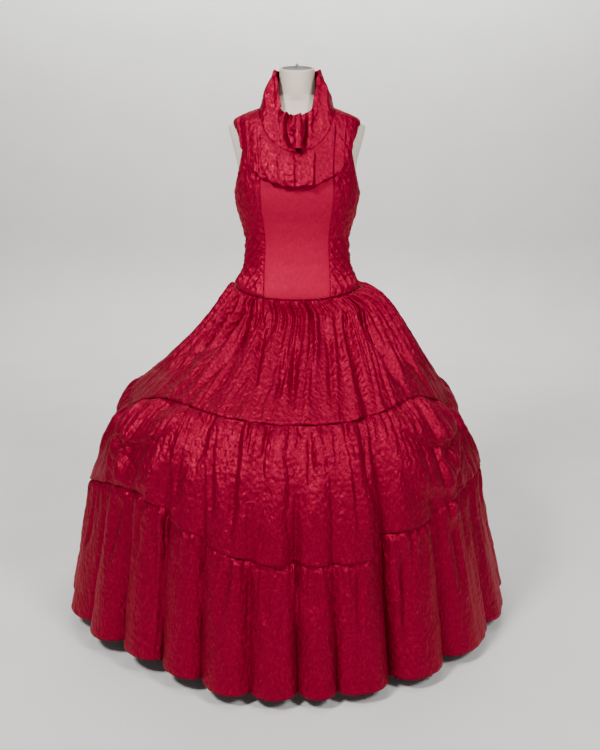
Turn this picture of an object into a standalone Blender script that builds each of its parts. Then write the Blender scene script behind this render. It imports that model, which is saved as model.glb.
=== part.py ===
"""A tiered party dress on a limbless dress form.

Metres, +Z up, the wearer's front towards -Y. The origin is the middle of the stand's base, on the floor.
Angles round the body are measured from the front: 0 is -Y, 90 degrees is +X, 180 degrees is the back.
"""

import math

import bmesh
import bpy
from mathutils import Matrix, Vector

# Cloth and seams
WALL = 0.0020
SEAM_GAP = 0.0003
SEAM_OPENING = 0.0010
TOP_STRIPS = (0.97, 0.85, 0.68, 0.45, 0.22)
LAP = 0.006

# Levels of the seams
WAIST_SIDE_Z = 0.930
WAIST_FRONT_DROP = 0.025

# Bodice landmarks
NECK_SIDE_Z = 1.404
NECK_FRONT_Z = 1.290
NECK_BACK_Z = 1.398
SHOULDER_TIP_Z = 1.373
ARMPIT_Z = 1.187
ARMHOLE_HALF_DEPTH = 0.058
PRINCESS_X = 0.090
PRINCESS_BUST_OUT = 0.008
PRINCESS_BUST_REACH = 0.12
PRINCESS_WAIST_IN = 0.003
PRINCESS_WAIST_Z = 1.05
PRINCESS_WAIST_REACH = 0.08
PRINCESS_KNEE_SHARE = 0.79
FRONT_PANEL_GRID = (8, 12)
SIDE_FRONT_GRID = (6, 14)
BACK_PANEL_GRID = (8, 14)

# Side pick-ups of the overskirt, in degrees from the front on either side
PINCH_ANGLE = 76.0
PINCH_Z = 0.610
PINCH_DEPTH = 0.010
PINCH_REACH = 14.0
PINCH_HALF_TIER = 0.5
SWAG_BACK_ANGLE = 122.0

# Cowls that hang from each pick-up: the angle and level where each starts at the seam, how far it sags,
# its height and its half width
COWLS = ((34.0, 0.655, 0.090, 0.022, 0.055), (28.0, 0.645, 0.225, 0.026, 0.070))
BACK_COWL_SHARE = 0.35
COWL_LEAN = 0.75
COWL_FULLNESS = 0.6

# Dress form and stand
FORM_INSET_SHOULDER = 0.0052
FORM_INSET_BODY = 0.0085
FORM_POINTS_ROUND = 48
FORM_BOTTOM_Z = 0.800
FORM_EASE_LOW_Z = 1.34
FORM_EASE_HIGH_Z = 1.385
FORM_CHEST_Z = 1.200
NECK_TOP_TILT = 14.0
KNOB_RADIUS = 0.0042
KNOB_TAPER = 0.75
KNOB_HEIGHT = 0.010
POLE_RADIUS = 0.014
BASE_RADIUS = 0.190
BASE_THICKNESS = 0.018

# The dress's outer surface on the body: level, half width, depth to the front and to the back
BODY_COLUMNS = ("z", "half_width", "front", "back")
BODY_SECTIONS = (
    (0.800, 0.176, 0.120, 0.150),
    (0.860, 0.186, 0.136, 0.152),
    (0.905, 0.190, 0.143, 0.148),
    (0.930, 0.178, 0.138, 0.142),
    (0.960, 0.158, 0.124, 0.128),
    (1.000, 0.146, 0.110, 0.107),
    (1.055, 0.142, 0.104, 0.093),
    (1.100, 0.153, 0.111, 0.095),
    (1.150, 0.167, 0.127, 0.105),
    (1.190, 0.171, 0.135, 0.111),
    (1.230, 0.169, 0.131, 0.115),
    (1.270, 0.167, 0.117, 0.117),
    (1.310, 0.166, 0.100, 0.114),
    (1.350, 0.166, 0.084, 0.101),
    (1.373, 0.165, 0.072, 0.086),
    (1.388, 0.134, 0.064, 0.074),
    (1.404, 0.096, 0.056, 0.064),
    (1.425, 0.066, 0.052, 0.056),
)
BODY_SQUARENESS = 2.3

# The form's shoulder end, which fills the armhole: level, and how far it stands out past the torso
SHOULDER_COLUMNS = ("z", "out")
SHOULDER_END = (
    (1.225, 0.000),
    (1.260, 0.004),
    (1.300, 0.015),
    (1.335, 0.024),
    (1.357, 0.026),
    (1.366, 0.015),
    (1.372, 0.000),
)
SHOULDER_END_CLEARANCE = 0.004

# Levels of the form's rings over the shoulders, where its shape turns fastest
SHOULDER_LEVELS = (1.350, 1.359, 1.366, 1.372, 1.378, 1.385, 1.392, 1.399, 1.406, 1.414, 1.424)
HIP_RINGS = 8
CHEST_RINGS = 5

# The neck above the torso: level, half width, half depth, how far forward, share of the cap's tilt
NECK_RINGS = (
    (1.508, 0.0466, 0.0470, 0.010, 1.0),
    (1.470, 0.0475, 0.0480, 0.006, 0.6),
    (1.440, 0.0500, 0.0470, 0.003, 0.3),
)

# The skirt: level, radius, how far it leans to -X, and its front depth as a share of the radius
SKIRT_COLUMNS = ("z", "radius", "lean", "front_share")
SKIRT_SECTIONS = (
    (0.020, 0.650, -0.028, 1.00),
    (0.200, 0.606, -0.030, 1.00),
    (0.340, 0.570, -0.030, 1.00),
    (0.450, 0.545, -0.028, 1.00),
    (0.550, 0.508, -0.029, 0.99),
    (0.640, 0.452, -0.022, 0.965),
    (0.720, 0.376, -0.003, 0.92),
    (0.800, 0.305, 0.013, 0.86),
    (0.860, 0.257, 0.019, 0.79),
    (0.900, 0.221, 0.016, 0.745),
    (0.930, 0.179, 0.004, 0.775),
)

# Valleys of the long folds: degrees from the front towards +X, depth at the hem, half width in degrees,
# and the tier in which each starts (0 is the waist, 1 and 2 the seams under it, 3 the hem)
LONG_FOLDS = (
    (2.8, 0.028, 4.8, 0.8),
    (11.7, 0.024, 4.8, 0.9),
    (25.5, 0.052, 6.5, 0.7),
    (44.0, 0.044, 6.5, 1.6),
    (66.5, 0.044, 7.0, 1.9),
    (84.0, 0.028, 7.0, 2.0),
    (99.0, 0.040, 8.0, 1.6),
    (117.0, 0.030, 7.0, 1.4),
    (133.0, 0.045, 8.0, 1.2),
    (150.0, 0.025, 7.0, 1.0),
    (166.0, 0.045, 7.0, 0.8),
    (183.0, 0.020, 6.0, 1.0),
    (199.0, 0.050, 7.5, 0.9),
    (215.0, 0.022, 6.5, 1.2),
    (232.0, 0.045, 8.0, 1.1),
    (250.0, 0.030, 7.0, 1.5),
    (268.0, 0.035, 8.0, 2.0),
    (283.0, 0.030, 7.0, 2.0),
    (299.0, 0.050, 7.0, 1.8),
    (317.0, 0.068, 30.0, 1.6),
    (319.0, 0.026, 6.0, 1.6),
    (334.5, 0.046, 6.0, 1.0),
    (352.0, 0.018, 5.0, 1.0),
)
SKIRT_POINTS_ROUND = 104

# Level of the first two tiers' edges, in degrees from the front towards +X
EDGE_COLUMNS = ("degrees", "z")
TIER_1_EDGE = (
    (-180, 0.645),
    (-112, 0.662),
    (-92, 0.638),
    (-PINCH_ANGLE, PINCH_Z),
    (-60, 0.652),
    (-46, 0.668),
    (-20, 0.654),
    (0, 0.645),
    (24, 0.648),
    (48, 0.671),
    (62, 0.648),
    (PINCH_ANGLE, PINCH_Z),
    (92, 0.638),
    (112, 0.662),
    (180, 0.645),
)
TIER_2_EDGE = (
    (-180, 0.345),
    (-140, 0.375),
    (-108, 0.392),
    (-88, 0.366),
    (-66, 0.425),
    (-45, 0.450),
    (-25, 0.392),
    (-10, 0.349),
    (0, 0.342),
    (20, 0.338),
    (27, 0.378),
    (40, 0.389),
    (58, 0.417),
    (80, 0.424),
    (104, 0.398),
    (140, 0.375),
    (180, 0.345),
)
HEM_COLUMNS = ("degrees", "z")
HEM = ((-180, 0.035), (-62, 0.042), (-40, 0.053), (-12, 0.036), (22, 0.033), (52, 0.034), (180, 0.035))

# Each tier: rows from its top to its edge, how far its gathers stand out, and how far its top is tucked in
TIER_SIZES = {
    "skirt_tier_1": (6, 0.0055, 0.0),
    "skirt_tier_2": (7, 0.0060, WALL + 0.0022),
    "skirt_tier_3": (4, 0.0060, WALL + 0.0032),
}
TIER_ROW_SPREAD = 1.15
GATHER_MIDDLE = 0.20
GATHER_REACH = 0.55
TIP_FLARE = 0.012
TIP_ANGLE = 86.0
TIP_REACH = 40.0
FOLD_GROWTH = 0.8
WAIST_EASE_Z = 0.84

# Falling ruffle and standing collar
RUFFLE_WAVES = 22
RUFFLE_PLEAT = (-1.0, 1.0, 0.2)
RUFFLE_ROWS = 3
RUFFLE_OUT_TOP = 0.0060
RUFFLE_OUT_EDGE = 0.0130
RUFFLE_SPREAD = 0.2
PLEAT_AT_TOP = 0.0010
PLEAT_AT_EDGE = 0.0034

# The ruffle's outer edge: where a pleat leaves the neckline, where it ends, and the edge's level there
RUFFLE_COLUMNS = ("neckline_angle", "edge_angle", "z")
RUFFLE_EDGE = (
    (0.0, 0.0, 1.202),
    (12.0, 10.0, 1.204),
    (30.0, 25.0, 1.220),
    (46.0, 38.0, 1.243),
    (60.0, 50.0, 1.284),
    (72.0, 61.0, 1.324),
    (81.0, 72.0, 1.352),
    (90.0, 90.0, 1.375),
    (99.0, 110.0, 1.352),
    (110.0, 122.0, 1.322),
    (130.0, 137.0, 1.292),
    (155.0, 158.0, 1.277),
    (180.0, 180.0, 1.273),
)
COLLAR_OUT = 0.0020
COLLAR_LIFT = 0.0035
COLLAR_POINTS_ROUND = 40
COLLAR_ROWS = 5
COLLAR_BELLY = 0.001
COLLAR_WAVE = 0.0035
COLLAR_WAVES = 7
COLLAR_WAVE_TURN = 0.4
COLLAR_WAVE_UP = 0.60

# The collar's front end: one open roll, with its radius at the top and the foot and its turn in degrees
ROLL_RADIUS_TOP = 0.0090
ROLL_RADIUS_FOOT = 0.0135
ROLL_START = -60.0
ROLL_END = 200.0
ROLL_POINTS = 12
ROLL_ROWS = 4
ROLL_FOOT_UP = 0.06
ROLL_CENTRE = (0.003, 0.0001, 0.002)

# The standing collar's top edge: angle from the front, out to the side, forward, level
COLLAR_TOP_COLUMNS = ("angle", "side", "forward", "z")
COLLAR_TOP = (
    (0.0, 0.000, 0.086, 1.384),
    (14.0, 0.022, 0.082, 1.388),
    (24.0, 0.038, 0.073, 1.402),
    (33.0, 0.047, 0.060, 1.440),
    (42.0, 0.052, 0.047, 1.478),
    (56.0, 0.057, 0.032, 1.498),
    (90.0, 0.061, 0.000, 1.505),
    (135.0, 0.047, -0.047, 1.505),
    (180.0, 0.000, -0.064, 1.505),
)

RED_SATIN = ((0.42, 0.008, 0.035, 1.0), 0.38, 0.0)
FORM_SHELL = ((0.72, 0.68, 0.62, 1.0), 0.45, 0.0)
STEEL = ((0.60, 0.60, 0.60, 1.0), 0.30, 1.0)
CAST_BASE = ((0.75, 0.73, 0.70, 1.0), 0.50, 0.2)


def column(table, names, name):
    return [row[names.index(name)] for row in table]


def smooth_value(at, positions, values):
    """A cubic through the table's points, with its slopes taken from their neighbours."""
    if at <= positions[0]:
        return values[0]
    if at >= positions[-1]:
        return values[-1]
    i = max(k for k in range(len(positions) - 1) if positions[k] <= at)
    last = len(positions) - 1
    step = positions[i + 1] - positions[i]
    share = (at - positions[i]) / step

    def slope(k):
        low, high = max(k - 1, 0), min(k + 1, last)
        return (values[high] - values[low]) / (positions[high] - positions[low]) * step

    start, end = values[i], values[i + 1]
    s2, s3 = share**2, share**3
    return (
        start * (2 * s3 - 3 * s2 + 1)
        + slope(i) * (s3 - 2 * s2 + share)
        + end * (3 * s2 - 2 * s3)
        + slope(i + 1) * (s3 - s2)
    )


def looked_up(table, names, by, at):
    """The table's other columns at a level or angle."""
    positions = column(table, names, by)
    return [smooth_value(at, positions, column(table, names, n)) for n in names if n != by]


def blend(low, high, share):
    return low + (high - low) * share


def smooth_step(at, start, end):
    share = min(max((at - start) / (end - start), 0.0), 1.0)
    return share * share * (3 - 2 * share)


def bump(at, middle, reach):
    """1 at the middle, and 0 from the reach on."""
    away = abs(at - middle) / reach
    return 0.5 + 0.5 * math.cos(math.pi * away) if away < 1 else 0.0


def body_point(angle, z, out=0.0):
    """The point of the dress on the body at an angle from the front and a level, moved out level."""
    half_width, front, back = looked_up(BODY_SECTIONS, BODY_COLUMNS, "z", z)
    side, ahead = math.sin(angle), math.cos(angle)
    depth = front if ahead > 0 else back
    power = 2 / BODY_SQUARENESS
    x = math.copysign(abs(side) ** power, side) * (half_width + out)
    y = -math.copysign(abs(ahead) ** power, ahead) * (depth + out)
    return Vector((x, y, z))


def angle_at_side(x, z):
    """The angle from the front at which the dress is this far out to the side."""
    half_width = looked_up(BODY_SECTIONS, BODY_COLUMNS, "z", z)[0]
    return math.asin(min(abs(x) / half_width, 1.0) ** (BODY_SQUARENESS / 2))


def angle_at_depth(depth_wanted, z, facing_front):
    """The angle from the front at which the dress is this far ahead of its middle, or behind it."""
    _, front, back = looked_up(BODY_SECTIONS, BODY_COLUMNS, "z", z)
    depth = front if facing_front else back
    angle = math.acos(min(depth_wanted / depth, 1.0) ** (BODY_SQUARENESS / 2))
    return angle if facing_front else math.pi - angle


def armhole_depth(z):
    """How far the armhole's edge is ahead of the shoulder line, and behind it."""
    middle = (ARMPIT_Z + SHOULDER_TIP_Z) / 2
    half_height = (SHOULDER_TIP_Z - ARMPIT_Z) / 2
    return ARMHOLE_HALF_DEPTH * math.sqrt(max(1 - ((z - middle) / half_height) ** 2, 0.0))


def waist_z(angle):
    return WAIST_SIDE_Z - WAIST_FRONT_DROP * max(math.cos(angle), 0.0) ** 2


def neck_front_z(x):
    """The front neckline is half an ellipse that hangs between the two neck points."""
    neck_side_x = looked_up(BODY_SECTIONS, BODY_COLUMNS, "z", NECK_SIDE_Z)[0]
    return NECK_SIDE_Z - (NECK_SIDE_Z - NECK_FRONT_Z) * math.sqrt(max(1 - (x / neck_side_x) ** 2, 0.0))


def material(name, finish):
    colour, roughness, metallic = finish
    made = bpy.data.materials.get(name) or bpy.data.materials.new(name)
    made.use_nodes = True
    shader = made.node_tree.nodes["Principled BSDF"]
    shader.inputs["Base Color"].default_value = colour
    shader.inputs["Roughness"].default_value = roughness
    shader.inputs["Metallic"].default_value = metallic
    return made


def collection(name):
    made = bpy.data.collections.new(name)
    bpy.context.scene.collection.children.link(made)
    return made


def put(name, mesh, finish_name, finish, where):
    made = bpy.data.objects.new(name, mesh)
    mesh.materials.append(material(finish_name, finish))
    where.objects.link(made)
    return made


def lofted_mesh(name, rows, closed):
    """A sheet through rows of points. Its faces point to the left of a row that is read downwards."""
    mesh = bpy.data.meshes.new(name)
    work = bmesh.new()
    verts = [[work.verts.new(point) for point in row] for row in rows]
    points = len(rows[0])
    spans = points if closed else points - 1
    for upper, lower in zip(verts, verts[1:]):
        for i in range(spans):
            j = (i + 1) % points
            work.faces.new((upper[i], lower[i], lower[j], upper[j]))
    bmesh.ops.triangulate(work, faces=work.faces[:], quad_method="SHORT_EDGE")
    work.to_mesh(mesh)
    work.free()
    mesh.shade_smooth()
    return mesh


def cloth(name, rows, closed, where):
    """A cloth wall: the rows are its outer face, and Solidify gives it its thickness inwards."""
    made = put(name, lofted_mesh(name, rows, closed), "red_satin", RED_SATIN, where)
    wall = made.modifiers.new("wall", "SOLIDIFY")
    wall.thickness = WALL
    wall.offset = -1.0
    wall.use_rim = True
    return made


def capped_loft(name, rows, finish_name, finish, where):
    """A solid through closed rings, with flat ends."""
    mesh = lofted_mesh(name, rows, closed=True)
    work = bmesh.new()
    work.from_mesh(mesh)
    bmesh.ops.holes_fill(work, edges=[e for e in work.edges if e.is_boundary])
    bmesh.ops.triangulate(work, faces=[f for f in work.faces if len(f.verts) > 4])
    bmesh.ops.recalc_face_normals(work, faces=work.faces[:])
    work.to_mesh(mesh)
    work.free()
    return put(name, mesh, finish_name, finish, where)


def seam_angle(z):
    """Half of the seam's opening on the outer face, as an angle next to the side of the body."""
    _, front, back = looked_up(BODY_SECTIONS, BODY_COLUMNS, "z", z)
    return (SEAM_OPENING / (front + back)) ** (BODY_SQUARENESS / 2)


def princess_x(z):
    """The princess seams run down over the bust and draw in a little at the waist."""
    over_bust = PRINCESS_BUST_OUT * bump(z, ARMPIT_Z, PRINCESS_BUST_REACH)
    at_waist = PRINCESS_WAIST_IN * bump(z, PRINCESS_WAIST_Z, PRINCESS_WAIST_REACH)
    return PRINCESS_X + over_bust - at_waist


def mirrored(rows):
    """The same sheet on the other side of the body, with its faces still outwards."""
    return [[Vector((-p.x, p.y, p.z)) for p in reversed(row)] for row in rows]


def edge_level(share, low, high, knee, knee_share):
    """A level up an edge that has its knee at a given share of the way."""
    if share < knee_share:
        return blend(low, knee, share / knee_share)
    return blend(knee, high, (share - knee_share) / (1 - knee_share))


def panel_shares(count):
    """Shares of the way down a panel, with narrow strips along its top seam."""
    last = 1 - 1 / count
    strips = [blend(last, 1.0, strip) for strip in TOP_STRIPS]
    return [1.0] + strips + [i / count for i in range(count - 1, -1, -1)]


def front_panel_rows():
    spans, levels = FRONT_PANEL_GRID
    rows = []
    for level in range(levels, -1, -1):
        row = []
        for i in range(spans + 1):
            across = blend(-1.0, 1.0, i / spans)
            edge_x = princess_x(blend(WAIST_SIDE_Z, NECK_FRONT_Z, level / levels)) - SEAM_OPENING / 2
            x = across * edge_x
            low = waist_z(angle_at_side(x, WAIST_SIDE_Z))
            z = blend(low, neck_front_z(x), level / levels)
            x = across * (princess_x(z) - SEAM_OPENING / 2)
            angle = math.copysign(angle_at_side(x, z), x)
            row.append(body_point(angle, z))
        rows.append(row)
    return rows


def side_edge_angle(z, facing_front):
    """The side seam up to the armpit, then the armhole's edge, then the shoulder seam's end."""
    depth = max(armhole_depth(z), SEAM_OPENING / 2)
    return angle_at_depth(depth, z, facing_front)


def patch_rows(left, right, foot, top, spans, levels):
    """Rows of a panel inside four edges. Each edge gives an angle and a level for a share of its length."""
    corners = [Vector(edge(end)) for edge, end in ((left, 0.0), (right, 0.0), (left, 1.0), (right, 1.0))]
    rows = []
    for up in panel_shares(levels):
        row = []
        for i in range(spans + 1):
            across = i / spans
            sides = Vector(left(up)).lerp(Vector(right(up)), across)
            ends = Vector(foot(across)).lerp(Vector(top(across)), up)
            middle = corners[0].lerp(corners[1], across).lerp(corners[2].lerp(corners[3], across), up)
            angle, z = sides + ends - middle
            row.append(body_point(angle, z))
        rows.append(row)
    return rows


def side_edge(up, facing_front):
    """The side seam up to the armpit, then the armhole's edge up to the shoulder seam's end."""
    z = edge_level(up, WAIST_SIDE_Z, SHOULDER_TIP_Z, ARMPIT_Z, 0.5)
    return side_edge_angle(z, facing_front), z


def princess_edge(up):
    """The princess seam up to the neckline, then the neckline up to the neck's side."""
    knee = neck_front_z(PRINCESS_X)
    foot_angle = angle_at_side(princess_x(WAIST_SIDE_Z) + SEAM_OPENING / 2, WAIST_SIDE_Z)
    z = edge_level(up, waist_z(foot_angle), NECK_SIDE_Z, knee, PRINCESS_KNEE_SHARE)
    if z <= knee:
        return angle_at_side(princess_x(z) + SEAM_OPENING / 2, z), z
    start = angle_at_side(princess_x(knee) + SEAM_OPENING / 2, knee)
    share = (z - knee) / (NECK_SIDE_Z - knee)
    return blend(start, math.pi / 2 - seam_angle(z), share), z


def waist_edge(start, end):
    """The waist seam between two angles."""

    def edge(share):
        angle = blend(start, end, share)
        return angle, waist_z(angle)

    return edge


def side_front_rows():
    """From the princess seam and the neckline to the side seam and the armhole."""

    def top(share):
        z = blend(NECK_SIDE_Z, SHOULDER_TIP_Z, share)
        return math.pi / 2 - seam_angle(z), z

    def outer(up):
        return side_edge(up, facing_front=True)

    foot = waist_edge(princess_edge(0.0)[0], outer(0.0)[0])
    return patch_rows(princess_edge, outer, foot, top, *SIDE_FRONT_GRID)


def back_rows():
    """From the side seam, the armhole and the shoulder seam to the centre back seam."""

    def outer(up):
        return side_edge(up, facing_front=False)

    def middle(up):
        z = blend(WAIST_SIDE_Z, NECK_BACK_Z, up)
        half_width = looked_up(BODY_SECTIONS, BODY_COLUMNS, "z", z)[0]
        return math.pi - (SEAM_OPENING / 2 / half_width) ** (BODY_SQUARENESS / 2), z

    def top(share):
        if share <= 0.5:
            z = blend(SHOULDER_TIP_Z, NECK_SIDE_Z, share / 0.5)
            return math.pi / 2 + seam_angle(z), z
        along = (share - 0.5) / 0.5
        start = math.pi / 2 + seam_angle(NECK_SIDE_Z)
        return blend(start, middle(1.0)[0], along), blend(NECK_SIDE_Z, NECK_BACK_Z, along)

    foot = waist_edge(outer(0.0)[0], middle(0.0)[0])
    return patch_rows(outer, middle, foot, top, *BACK_PANEL_GRID)


def signed_degrees(angle):
    return math.degrees(math.remainder(angle, 2 * math.pi))


def fold_depth(angle, tier):
    """How deep the long folds' valleys are at an angle and a height on the skirt."""
    depth = 0.0
    for valley, at_hem, reach, start in LONG_FOLDS:
        away = math.remainder(math.degrees(angle) - valley, 360)
        if tier > start and abs(away) < reach:
            depth += at_hem * ((tier - start) / (3 - start)) ** FOLD_GROWTH * bump(away, 0.0, reach)
    return depth


def tier_1_edge_z(angle):
    return looked_up(TIER_1_EDGE, EDGE_COLUMNS, "degrees", signed_degrees(angle))[0]


def tier_2_edge_z(angle):
    return looked_up(TIER_2_EDGE, EDGE_COLUMNS, "degrees", signed_degrees(angle))[0]


def hem_z(angle):
    return looked_up(HEM, HEM_COLUMNS, "degrees", signed_degrees(angle))[0]


def skirt_point(angle, z, out):
    """The skirt's surface at an angle and level, moved out."""
    radius, lean, front_share = looked_up(SKIRT_SECTIONS, SKIRT_COLUMNS, "z", z)
    power = blend(1.0, 2 / BODY_SQUARENESS, smooth_step(z, WAIST_EASE_Z, WAIST_SIDE_Z))
    side, ahead = math.sin(angle), math.cos(angle)
    x = math.copysign(abs(side) ** power, side) * (radius + out) + lean
    y = -math.copysign(abs(ahead) ** power, ahead) * (radius * front_share + out)
    return Vector((x, y, z))


def swag_out(angle, z):
    """The cowls that hang between each pick-up and the seam, and behind it."""
    degrees = abs(signed_degrees(angle))
    out = 0.0
    for start_angle, start_z, sag, height, reach in COWLS:
        if degrees < PINCH_ANGLE:
            along = (degrees - start_angle) / (PINCH_ANGLE - start_angle)
        else:
            along = (SWAG_BACK_ANGLE - degrees) / (SWAG_BACK_ANGLE - PINCH_ANGLE)
            height *= BACK_COWL_SHARE
        if along > 0:
            hang = math.sin(math.pi * along**COWL_LEAN)
            ridge_z = blend(start_z, PINCH_Z, along) - sag * hang
            out += height * hang**COWL_FULLNESS * bump(z, ridge_z, reach)
    return out


def drape_out(angle, z, tier):
    """How far the long folds, the pick-ups and their pinches move the skirt out. They pass over the seams."""
    degrees = abs(signed_degrees(angle))
    pinch = PINCH_DEPTH * bump(degrees, PINCH_ANGLE, PINCH_REACH) * bump(tier, 1.0, PINCH_HALF_TIER)
    swag = swag_out(angle, z) * smooth_step(tier, 1.0, 1.15) if tier < 2 else 0.0
    tip = TIP_FLARE * bump(degrees, TIP_ANGLE, TIP_REACH) * smooth_step(tier, 1.6, 2.0)
    flare = tip if tier <= 2 else 0.0
    return swag + flare - fold_depth(angle, tier) - pinch


def waist_ring():
    """The bodice's lower edge, as the skirt's top ring meets it."""
    ring = [body_point(angle, waist_z(angle)) for angle in skirt_angles()]
    return [point - Vector((0, 0, SEAM_GAP)) for point in ring]


def skirt_angles():
    return [2 * math.pi * i / SKIRT_POINTS_ROUND for i in range(SKIRT_POINTS_ROUND)]


def tucked_rows(above, tuck):
    """The two rows of a tier's top: one inside the edge of the tier above, and one just below it."""
    lap, below = [], []
    for angle, foot, higher in zip(skirt_angles(), above[-1], above[-2]):
        inward = Vector((-math.sin(angle), math.cos(angle), 0)) * tuck
        share = LAP / (higher - foot).length
        lap.append(foot.lerp(higher, share) + inward)
        below.append(foot + (foot - higher) * share + inward)
    return [lap, below]


def tier_rows(name, number, top_z, edge_z, above):
    """One gathered tier. It starts at the waist seam, or inside the edge of the tier above."""
    rows_down, gather, tuck = TIER_SIZES[name]
    rows = tucked_rows(above, tuck) if above else [waist_ring()]
    for level in range(1, rows_down + 1):
        down = (level / rows_down) ** TIER_ROW_SPREAD
        row = []
        for i, angle in enumerate(skirt_angles()):
            z = blend(top_z(angle), edge_z(angle), down)
            gathers = (1 if i % 2 else -1) * gather * bump(down, GATHER_MIDDLE, GATHER_REACH)
            row.append(skirt_point(angle, z, drape_out(angle, z, number + down) + gathers))
        rows.append(row)
    return rows


def build_skirt(where):
    """Three gathered tiers, each lapped over the top of the next."""
    levels = (waist_z, tier_1_edge_z, tier_2_edge_z, hem_z)
    above = None
    for number, name in enumerate(TIER_SIZES):
        above = tier_rows(name, number, levels[number], levels[number + 1], above)
        cloth(name, above, True, where)


def build_bodice(where):
    cloth("bodice_front", front_panel_rows(), False, where)
    cloth("bodice_side_front_left", side_front_rows(), False, where)
    cloth("bodice_side_front_right", mirrored(side_front_rows()), False, where)
    cloth("bodice_back_left", back_rows(), False, where)
    cloth("bodice_back_right", mirrored(back_rows()), False, where)


def neckline_z(angle):
    """The neckline's level at an angle from the front."""
    ahead = math.cos(angle)
    if ahead < 0:
        return blend(NECK_SIDE_Z, NECK_BACK_Z, -ahead)
    low, high = NECK_FRONT_Z, NECK_SIDE_Z
    for _ in range(30):
        z = (low + high) / 2
        if z < neck_front_z(body_point(angle, z).x):
            low = z
        else:
            high = z
    return (low + high) / 2


def raised_point(angle, z, out):
    """The dress's surface on the body, moved out square to itself."""
    step = 0.002
    along = body_point(angle + step, z) - body_point(angle - step, z)
    upward = body_point(angle, z + step) - body_point(angle, z - step)
    return body_point(angle, z) + along.cross(upward).normalized() * out


def build_ruffle(where):
    """The falling ruffle lies on the bodice from the neckline out, in pleats that open at its edge."""
    points = RUFFLE_WAVES * len(RUFFLE_PLEAT)
    rows = []
    for level in range(RUFFLE_ROWS + 1):
        down = level / RUFFLE_ROWS
        row = []
        for i in range(points):
            start = 2 * math.pi * i / points
            degrees = signed_degrees(start)
            edge_degrees, edge_z = looked_up(RUFFLE_EDGE, RUFFLE_COLUMNS, "neckline_angle", abs(degrees))
            angle = blend(math.radians(degrees), math.radians(math.copysign(edge_degrees, degrees)), down)
            z = blend(neckline_z(start) - 0.001, edge_z, down)
            pleat = blend(PLEAT_AT_TOP, PLEAT_AT_EDGE, down) * RUFFLE_PLEAT[i % len(RUFFLE_PLEAT)]
            out = blend(RUFFLE_OUT_TOP, RUFFLE_OUT_EDGE, down**RUFFLE_SPREAD)
            row.append(raised_point(angle, z, out + pleat))
        rows.append(row)
    cloth("collar_ruffle", rows, True, where)


def collar_point(angle, up):
    """A point of the standing collar, from its seam at the neckline to its top edge."""
    degrees = abs(signed_degrees(angle))
    side, forward, top_z = looked_up(COLLAR_TOP, COLLAR_TOP_COLUMNS, "angle", degrees)
    top = Vector((math.copysign(side, math.sin(angle)), -forward, top_z))
    foot = body_point(angle, neckline_z(angle), COLLAR_OUT) + Vector((0, 0, COLLAR_LIFT))
    outward = Vector((math.sin(angle), -math.cos(angle), 0))
    belly = COLLAR_BELLY * math.sin(math.pi * up)
    turn = COLLAR_WAVES * angle + COLLAR_WAVE_TURN
    wave = COLLAR_WAVE * math.cos(turn) * bump(up, COLLAR_WAVE_UP, COLLAR_WAVE_UP)
    return foot.lerp(top, up) + outward * (belly + wave)


def build_collar(where):
    """The standing collar leaves the neckline nearly upright and leans in to the neck at its top."""
    rows = []
    for level in range(COLLAR_ROWS, -1, -1):
        angles = [2 * math.pi * i / COLLAR_POINTS_ROUND for i in range(COLLAR_POINTS_ROUND)]
        rows.append([collar_point(angle, level / COLLAR_ROWS) for angle in angles])
    cloth("collar_stand", rows, True, where)


def build_collar_roll(where):
    """The collar's front end is curled into one small open roll that hangs at the throat."""
    rows = []
    for level in range(ROLL_ROWS + 1):
        up = 1 - level / ROLL_ROWS
        radius = blend(ROLL_RADIUS_FOOT, ROLL_RADIUS_TOP, up)
        seat = collar_point(0.0, blend(ROLL_FOOT_UP, 1.0, up))
        middle = seat + Vector(ROLL_CENTRE) - Vector((0, radius, 0))
        row = []
        for i in range(ROLL_POINTS + 1):
            angle = math.radians(blend(ROLL_START, ROLL_END, i / ROLL_POINTS))
            row.append(middle + Vector((math.sin(angle), -math.cos(angle), 0)) * radius)
        rows.append(row)
    cloth("collar_front_roll", rows, False, where)


def form_point(angle, z):
    """A point of the form: the dress's surface moved in square to itself, with its shoulder ends out."""
    inset = blend(FORM_INSET_BODY, FORM_INSET_SHOULDER, smooth_step(z, FORM_EASE_LOW_Z, FORM_EASE_HIGH_Z))
    point = raised_point(angle, z, -inset)
    reach = armhole_depth(z) - SHOULDER_END_CLEARANCE
    if reach > abs(point.y):
        out = looked_up(SHOULDER_END, SHOULDER_COLUMNS, "z", z)[0]
        point.x += math.copysign(out * (1 - (point.y / reach) ** 2), point.x)
    return point


def form_levels():
    """Levels up the torso, closer together at the shoulders."""
    low = [blend(FORM_BOTTOM_Z, FORM_CHEST_Z, i / HIP_RINGS) for i in range(HIP_RINGS)]
    middle = [blend(FORM_CHEST_Z, SHOULDER_LEVELS[0], i / CHEST_RINGS) for i in range(CHEST_RINGS)]
    return low + middle + list(SHOULDER_LEVELS)


def build_form(where):
    """A torso with rounded shoulder ends and a neck, whose flat top tilts forward."""
    angles = [2 * math.pi * i / FORM_POINTS_ROUND for i in range(FORM_POINTS_ROUND)]
    tilt = math.radians(NECK_TOP_TILT)
    rings = []
    for z, half_width, depth, forward, tilt_share in NECK_RINGS:
        ring = []
        for angle in angles:
            ahead = math.cos(angle) * depth
            drop = math.tan(tilt * tilt_share) * ahead
            ring.append(Vector((math.sin(angle) * half_width, -ahead - forward, z - drop)))
        rings.append(ring)
    rings += [[form_point(angle, z) for angle in angles] for z in reversed(form_levels())]
    capped_loft("form_torso", rings, "form_shell", FORM_SHELL, where)
    build_neck_knob(tilt, where)


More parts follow.
